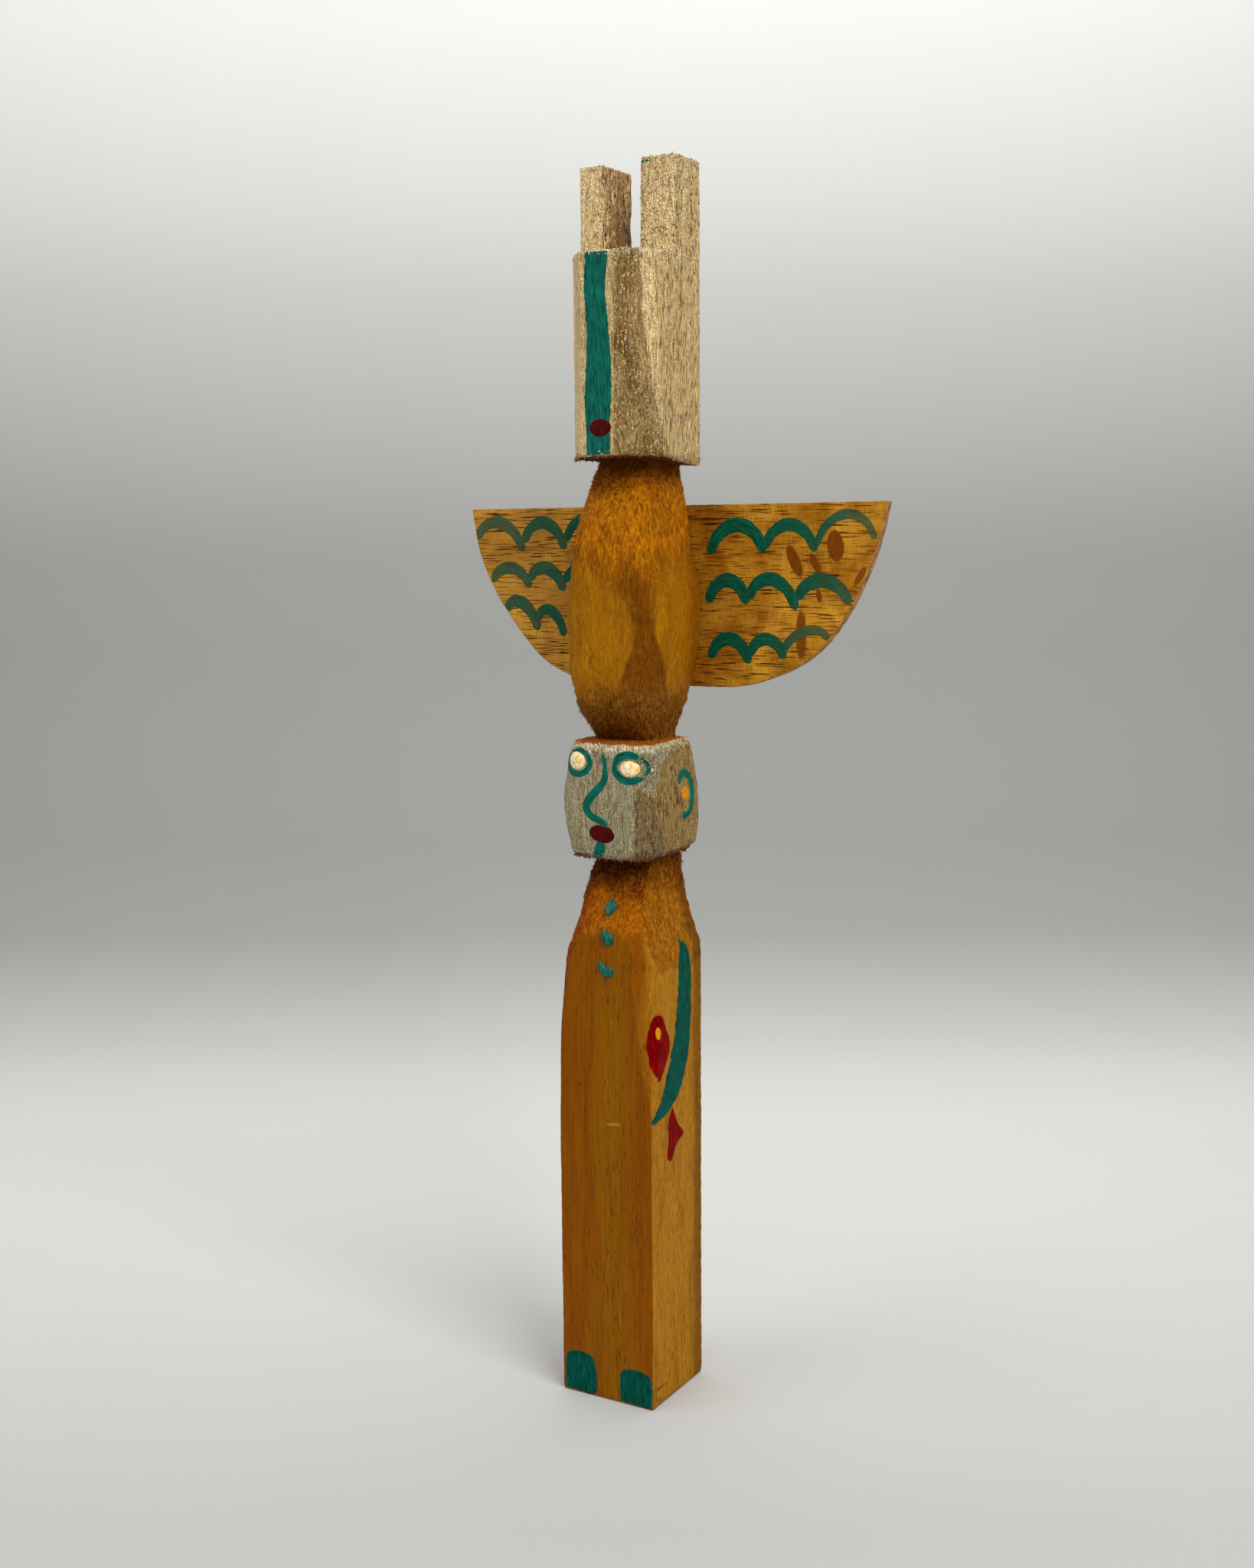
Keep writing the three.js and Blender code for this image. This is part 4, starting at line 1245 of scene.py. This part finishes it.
def paintReds():
    paint = Paint(carvedStick, 0.1)
    facing = bodyPaint["fishFacing"]
    paint.patch(facing, bodyPaint["fish"])
    paint.patch(90, bodyPaint["tail"], thickness=0.08)
    made = paint.finish("redMarks", red)
    dark = Paint(carvedStick, 0.2)
    dark.patch(0, snoutPaint["dot"])
    dark.patch(0, facePaint["mouth"])
    return made, dark.finish("darkRedMarks", dotRed)


def paintYellows():
    paint = Paint(carvedStick, 0.16)
    paint.patch(90, facePaint["earDab"])
    paint.patch(-90, mirrored(facePaint["earDab"]))
    paint.patch(bodyPaint["fishFacing"], bodyPaint["fishEye"], thickness=0.25)
    scrape = Paint(carvedStick, 0.03)
    scrape.stroke(0, bodyPaint["scrape"], coverage=0.7)
    scrape.stroke(0, snoutPaint["chip"])
    return paint.finish("yellowDabs", yellow), scrape.finish("scrapeMark", scraped)


def paintWings():
    paint = Paint(wingBoard, 0.06)
    seed = 10
    for side in ("left", "right"):
        for *shape, coverage, fade in wingPaint[side]:
            paint.stroke(0, scallop(*shape), coverage, seed, fade=fade)
            seed += 1
    scallops = paint.finish("wingScallops", wingTeal)
    wash = Paint(wingBoard, 0.02)
    for shape, coverage in wingPaint["washes"]:
        wash.patch(0, oval(*shape), coverage, soft=0.28, rings=9)
    return scallops, wash.finish("brownWashes", brownWash)


marks = [*paintTeal(), *paintReds(), *paintYellows(), *paintWings()]
print("painted")


def paintBeads():
    made = []
    for label, outline in bodyPaint["buttons"].items():
        bead = Paint(carvedStick)
        bead.patch(0, outline, thickness=0.85, dome=True, rings=12, gap=0.22)
        made.append((bead.finish(f"buttonBead_{label}", beadTeal), f"paint_bead_button_{label}"))
    for label in ("left", "right"):
        bead = Paint(carvedStick)
        bead.patch(0, facePaint[f"{label}Dab"], thickness=0.6, dome=True, rings=10, gap=0.25)
        made.append((bead.finish(f"eyeDab_{label}", cream), f"paint_bead_eye_{label}"))
    return made


beads = paintBeads()


# Glue and pins.

def buildGlue():
    low, high = (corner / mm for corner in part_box("glue_film"))
    outline = []
    steps = 40
    for side, zs in ((1, range(steps + 1)), (-1, range(steps, -1, -1))):
        for i in zs:
            z = low.z + (high.z - low.z) * i / steps
            left, right = valuesAt(lengths["breast"]["stations"], z)[:2]
            ooze = 0.35 * lumps((z, side, 0), (3, 1, 1), 41) - 0.9
            outline.append(((right + ooze) if side > 0 else (-left - ooze), z))
    verts, count = [], len(outline)
    middle = Vector((0, (low.z + high.z) / 2))
    for y, inset in ((stickHigh.y, 0.2), (low.y, 0), (high.y, 0), (boardLow.y, 0.2)):
        for x, z in outline:
            p = Vector((x, z))
            q = p + (middle - p).normalized() * inset
            verts.append((q.x, y, q.y))
    faces = shellFaces(4, count)
    made = makeObject("gluedSeam", verts, faces, [glue])
    return closeShell(made)


pinShape = [(0, 0), (0.25, 0.8), (0.52, 1.6), (0.54, 11.9), (0.95, 11.95), (1.08, 12.1),
            (1.06, 12.35), (0.9, 12.55),
            (0.5, 12.66), (0, 12.68)]


def buildPin(name, node):
    low, high = (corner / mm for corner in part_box(node))
    x, z, sides = (low.x + high.x) / 2, (low.z + high.z) / 2, 28
    scale = (high.y - low.y) / pinShape[-1][1]
    verts = [(x, low.y, z)]
    for r, h in pinShape[1:-1]:
        for i in range(sides):
            turn = 2 * math.pi * i / sides
            verts.append((x + r * math.cos(turn), low.y + h * scale, z + r * math.sin(turn)))
    verts.append((x, high.y, z))
    faces = [(0, 1 + i, 1 + (i + 1) % sides) for i in range(sides)]
    for k in range(len(pinShape) - 3):
        faces += [(1 + k * sides + i, 1 + (k + 1) * sides + i, 1 + (k + 1) * sides + (i + 1) % sides,
                   1 + k * sides + (i + 1) % sides) for i in range(sides)]
    last = 1 + (len(pinShape) - 3) * sides
    faces += [(last + i, len(verts) - 1, last + (i + 1) % sides) for i in range(sides)]
    made = makeObject(name, verts, faces, [pinSteel])
    return closeShell(made)


gluedSeam = buildGlue()
pins = {which: buildPin(f"panelPin_{which}", f"panel_pin_{which}") for which in ("upper", "lower")}
print("glued and pinned")


# Torn fibres along the cuts.

# Small tapered fibres standing on a surface, more of them where its "weight" is high. Every size is a
# named input, and each fibre takes its colours from the spot that it stands on.
def fibreTree():
    tree = bpy.data.node_groups.new("tornFibres", "GeometryNodeTree")
    tree.interface.new_socket(name="Geometry", in_out="INPUT", socket_type="NodeSocketGeometry")
    for label, kind in (("Density", "Float"), ("Length", "Float"), ("Thickness", "Float"), ("Tip", "Float"),
                        ("Tilt", "Float"), ("Lean", "Vector"), ("Sink", "Float"), ("Seed", "Int"),
                        ("Material", "Material")):
        tree.interface.new_socket(name=label, in_out="INPUT", socket_type="NodeSocket" + kind)
    tree.interface.new_socket(name="Geometry", in_out="OUTPUT", socket_type="NodeSocketGeometry")
    given = tree.nodes.new("NodeGroupInput").outputs
    weight = addNode(tree, "GeometryNodeInputNamedAttribute", {"Name": "weight"}, data_type="FLOAT")
    thick = times(tree, weight.outputs[0], given["Density"])
    spots = addNode(tree, "GeometryNodeDistributePointsOnFaces",
                    {"Mesh": given["Geometry"], "Density": thick, "Seed": given["Seed"]}).outputs
    sunk = scaled(tree, spots["Normal"], given["Sink"])
    placed = addNode(tree, "GeometryNodeSetPosition", {"Geometry": spots["Points"], "Offset": sunk})
    fibre = addNode(tree, "GeometryNodeMeshCone", {"Vertices": 5, "Radius Top": given["Tip"],
                                                    "Radius Bottom": given["Thickness"],
                                                    "Depth": given["Length"]}).outputs["Mesh"]
    halfTurn = 3.14
    minusTilt = times(tree, given["Tilt"], -1.0)
    tiltLow = addNode(tree, "ShaderNodeCombineXYZ",
                      {"X": minusTilt, "Y": minusTilt, "Z": -halfTurn}).outputs[0]
    tiltHigh = addNode(tree, "ShaderNodeCombineXYZ",
                       {"X": given["Tilt"], "Y": given["Tilt"], "Z": halfTurn}).outputs[0]
    tilt = addNode(tree, "FunctionNodeRandomValue", {0: tiltLow, 1: tiltHigh, "Seed": given["Seed"]},
                   data_type="FLOAT_VECTOR").outputs[0]
    aim = addNode(tree, "ShaderNodeVectorMath", {0: spots["Normal"], 1: given["Lean"]}, operation="ADD")
    aimed = addNode(tree, "FunctionNodeAlignRotationToVector", {"Vector": aim.outputs[0]}, axis="Z")
    turned = addNode(tree, "FunctionNodeRotateRotation", {0: aimed.outputs[0], 1: tilt},
                     rotation_space="LOCAL").outputs[0]
    size = addNode(tree, "FunctionNodeRandomValue", {2: 0.35, 3: 1.0, "Seed": given["Seed"]},
                   data_type="FLOAT")
    standing = addNode(tree, "GeometryNodeInstanceOnPoints",
                       {"Points": placed.outputs[0], "Instance": fibre, "Rotation": turned,
                        "Scale": size.outputs[1]}).outputs[0]
    solid = addNode(tree, "GeometryNodeRealizeInstances", {"Geometry": standing}).outputs[0]
    finished = addNode(tree, "GeometryNodeSetMaterial",
                       {"Geometry": solid, "Material": given["Material"]})
    tree.links.new(finished.outputs[0], tree.nodes.new("NodeGroupOutput").inputs[0])
    return tree


tornFibres = fibreTree()
fibreSink = 0.08  # how deep a fibre's foot is in the wood


# weighAt(kind, point, normal) says how thickly the fibres stand. Sizes are in mm, density per square mm.
def fibresOn(name, weighAt, material, seed, density, length, thickness, tip, tilt, lean):
    weights = [max(0, weighAt(kind, p, n)) for kind, p, n in zip(skin.kinds, skinPoints, skinNormals)]
    faces = [f for f in skin.faces if sum(weights[i] for i in f) > 0.02]
    used = sorted({i for f in faces for i in f})
    index = {old: new for new, old in enumerate(used)}
    attributes = {label: [values[i] for i in used] for label, values in skinFinish.items()}
    attributes["weight"] = [weights[i] for i in used]
    start = makeObject(name, [skinPoints[i] for i in used], [tuple(index[i] for i in f) for f in faces], [],
                       attributes=attributes, sharp=0)
    modifier = start.modifiers.new("fibres", "NODES")
    modifier.node_group = tornFibres
    values = {"Density": density / mm ** 2, "Length": length * mm, "Thickness": thickness * mm,
              "Tip": tip * mm, "Tilt": tilt, "Lean": lean, "Sink": -fibreSink * mm, "Seed": seed,
              "Material": material}
    for item in tornFibres.interface.items_tree:
        if item.item_type == "SOCKET" and item.in_out == "INPUT" and item.name in values:
            modifier[item.identifier] = values[item.name]
    bpy.context.view_layer.update()
    evaluated = start.evaluated_get(bpy.context.evaluated_depsgraph_get())
    made = bpy.data.meshes.new_from_object(evaluated)
    start.modifiers.remove(modifier)
    start.data = made
    return start


def rimOf(wanted, height, reach, frontOnly=True):  # 1 on the edge at this height, 0 at reach from it
    def weigh(kind, p, n):
        if kind != wanted or (frontOnly and p.y > half - 0.8):
            return 0
        return 1 - ramp(0, reach, abs(p.z - height)) if abs(n.z) < 0.9 else 0
    return weigh


def neckFuzz(kind, p, n):
    if kind not in ("body", "breast") or n.y > 0.7 or abs(n.z) > 0.9:
        return 0
    top = ramp(214, 226, p.z) + ramp(180, 166, p.z) if kind == "breast" else ramp(119, 131, p.z)
    return 0.06 + top if kind == "breast" or p.z > 115 else 0


def sparkle(kind, p, n):
    if kind != "face" or n.y > 0.7 or n.z > 0.95 or n.z < -0.9:
        return 0
    corner = hill(0.6, 0.4, n.x) * hill(-0.7, 0.4, n.y)
    if n.y < -0.7 and p.x < 9.6 and 139 < p.z < 161.9:
        return 0  # keeps the painted features whole
    return ramp(158.5, 162.5, p.z) + 0.6 * corner * ramp(149, 154, p.z) + 0.7 * ramp(138, 135.4, p.z)


skinNormals = vertexNormals(skinPoints, skin.faces)


def buildFibres():
    down, still, upward = (0, 0, -2.2), (0, 0, 0), (0, 0, 1.2)
    rows = [  # name, where, material, density, length, thickness, tip, tilt, lean
        ("snoutFootFibres", rimOf("snout", 229.6, 1.0), torn, 4.5, 1.15, 0.22, 0.03, 0.9, down),
        ("snoutFootCrumbs", rimOf("snout", 229.6, 1.6), gold, 3.0, 0.5, 0.28, 0.16, 1.4, still),
        ("snoutBrowCrumbs", rimOf("snout", 275.9, 1.2), gold, 3.4, 0.5, 0.28, 0.16, 1.4, upward),
        ("leftEarCrumbs", rimOf("leftEar", 298.0, 1.4, False), gold, 3.4, 0.5, 0.28, 0.14, 1.4, upward),
        ("rightEarCrumbs", rimOf("rightEar", 297.3, 1.4, False), gold, 3.4, 0.5, 0.28, 0.14, 1.4, upward),
        ("faceSparkle", sparkle, silver, 2.6, 0.42, 0.28, 0.16, 1.4, still),
        ("faceFootFibres", rimOf("face", 135.2, 1.2), torn, 4.0, 1.1, 0.24, 0.04, 1.0, down),
        ("neckFuzz", neckFuzz, stain, 2.6, 1.0, 0.13, 0.02, 0.6, (0, 0, -0.9)),
    ]
    made = []
    for seed, (name, weigh, material, *sizes) in enumerate(rows):
        made.append(fibresOn(name, weigh, material, seed, *sizes))
    return made


fibres = buildFibres()
print("torn fibres:", sum(len(f.data.polygons) for f in fibres), "faces")


# What each piece stands for.

settle(carvedStick, "stained_stick", "carved_stick")
settle(wingBoard, "wing_plywood", "wing_board")
settle(gluedSeam, "dried_glue", "glue_film")
for which, pin in pins.items():
    settle(pin, "pin_steel", f"panel_pin_{which}")
for bead, node in beads:
    settle(bead, "cream_paint" if "eye" in node else "teal_paint", node)
for mark in marks:
    settle(mark, "cream_paint" if "yellow" in mark.name else "teal_paint")
for fibre in fibres:
    settle(fibre, "stained_stick")


# Camera, stage and lights.

camera = {
    "lens": 41.63, "sensor": 36, "turn": 30.248, "away": 435.46, "height": 208.2,
    "aim": 30.351, "pitch": 7.36, "roll": -0.408,
}


def placeCamera():
    turn, aim, pitch, roll = (math.radians(camera[k]) for k in ("turn", "aim", "pitch", "roll"))
    data = bpy.data.cameras.new("camera")
    data.lens, data.sensor_width, data.clip_start = camera["lens"], camera["sensor"], 0.01
    made = bpy.data.objects.new("camera", data)
    bpy.context.collection.objects.link(made)
    level = Vector((-math.sin(aim), math.cos(aim), 0))
    forward = level * math.cos(pitch) - up * math.sin(pitch)
    right = Vector((math.cos(aim), math.sin(aim), 0))
    above = right.cross(forward)
    across = right * math.cos(roll) + above * math.sin(roll)
    upward = above * math.cos(roll) - right * math.sin(roll)
    place = Vector((math.sin(turn), -math.cos(turn), 0)) * camera["away"] + up * camera["height"]
    turned = Matrix((across, upward, -forward)).transposed().to_4x4()
    made.matrix_world = Matrix.Translation(place * mm) @ turned
    bpy.context.scene.camera = made


stage = {
    "width": 3.0, "near": -1.6, "far": 0.33, "bend": 0.22, "wall": 1.6,
    # Painted shade towards the sides: the darkest it gets, and how far from the middle it reaches.
    "darkestPaintedShade": 0.75,
    "warmth": 0.985,  # blue against the other two
    "paintedShadeReach": 0.8,  # how far from the middle, in metres, the backdrop would be half as bright
    # Painted light and shade along the sweep: brighter and darker bands of grey.
    "paintedLightAndShade": [(1.30, 177), (1.529, 184), (1.648, 204), (1.72, 211), (1.813, 214), (1.873, 210),
               (1.944, 196),
               (1.996, 176), (2.034, 160), (2.095, 153), (2.209, 156), (2.256, 162), (2.304, 177),
               (2.352, 191),
               (2.4, 204), (2.447, 221), (2.493, 233), (2.54, 243)],  # along the sweep in metres: greyness
}


# The floor and backdrop have painted light and shade in their colour: greys along the sweep, darker towards
# the sides.
def sweep():  # a pale floor that curves up into a backdrop, square to the camera
    profile, run = [(stage["near"], 0)], [0]
    steps = 24
    for i in range(steps + 1):
        a = math.pi / 2 * i / steps
        profile.append((stage["far"] + stage["bend"] * math.sin(a), stage["bend"] * (1 - math.cos(a))))
        run.append(stage["far"] - stage["near"] + stage["bend"] * a)
    profile.append((stage["far"] + stage["bend"], stage["wall"]))
    run.append(run[-1] + stage["wall"] - stage["bend"])
    turn = Matrix.Rotation(math.radians(camera["aim"]), 3, "Z")
    sides = (-stage["width"], stage["width"])
    verts = [turn @ Vector((x, y, z)) / mm for y, z in profile for x in sides]
    faces = [(2 * i, 2 * i + 1, 2 * i + 3, 2 * i + 2) for i in range(len(profile) - 1)]
    material, tree, shader, position = newMaterial("paleFloor", specularIorLevel=0.1)
    where = addNode(tree, "ShaderNodeUVMap", uv_map="run").outputs[0]
    across, along, _ = addNode(tree, "ShaderNodeSeparateXYZ", {0: where}).outputs
    paintedLightAndShade = stage["paintedLightAndShade"]
    first, last = paintedLightAndShade[0][0], paintedLightAndShade[-1][0]
    greys = addNode(tree, "ShaderNodeValToRGB", {0: spread(tree, along, first, last)})
    for _ in paintedLightAndShade[2:]:
        greys.color_ramp.elements.new(0.5)
    for element, (place, grey) in zip(greys.color_ramp.elements, paintedLightAndShade):
        element.position = (place - first) / (last - first)
        element.color = (*linear(grey, grey, grey * stage["warmth"]), 1)
    # Painted shade: darker away from the middle.
    aside = sums(tree, "DIVIDE", across, stage["paintedShadeReach"])
    paintedSideShade = minus(tree, 1.0, times(tree, times(tree, aside, aside), 0.5), clamp=True)
    mottle = noisy(tree, position, 0.02, 3)
    paintedSideShade = sums(tree, "MAXIMUM", paintedSideShade, stage["darkestPaintedShade"])
    paintedSideShade = times(tree, paintedSideShade, spread(tree, mottle, 0.3, 0.7, 0.99, 1.0))
    shade = scaled(tree, greys.outputs[0], paintedSideShade)
    finishMaterial(tree, shader, shade, spread(tree, mottle, 0, 1, 0.6, 0.7), mottle, 0.05)
    places = [(x, along) for along in run for x in sides]
    made = makeObject("sweep", verts, faces, [material], attributes={"run": places})


lights = {
    "key": {"place": (0.95, -0.5, 0.95), "size": 0.8, "power": 14, "colour": (1, 0.99, 0.97)},
    "fill": {"place": (-0.8, -0.9, 0.7), "size": 1.0, "power": 6, "colour": (0.98, 0.99, 1)},
    "top": {"place": (0.1, 0.1, 1.3), "size": 1.2, "power": 7, "colour": (1, 1, 1)},
}


worldGlow, worldColour = 0.3, (0.97, 0.98, 1, 1)


def placeLights():
    for name, spec in lights.items():
        data = bpy.data.lights.new(name, "AREA")
        data.shape, data.size, data.energy, data.color = "SQUARE", spec["size"], spec["power"], spec["colour"]
        made = bpy.data.objects.new(name, data)
        bpy.context.collection.objects.link(made)
        made.location = spec["place"]
        aim = Vector((0, 0, 0.15)) - Vector(spec["place"])
        made.rotation_euler = aim.to_track_quat("-Z", "Y").to_euler()
    world = bpy.data.worlds.new("studio")
    world.use_nodes = True
    world.node_tree.nodes["Background"].inputs["Color"].default_value = worldColour
    world.node_tree.nodes["Background"].inputs["Strength"].default_value = worldGlow
    bpy.context.scene.world = world
    bpy.context.scene.view_settings.view_transform = "Standard"


placeCamera()
sweep()
placeLights()
print("stage set")
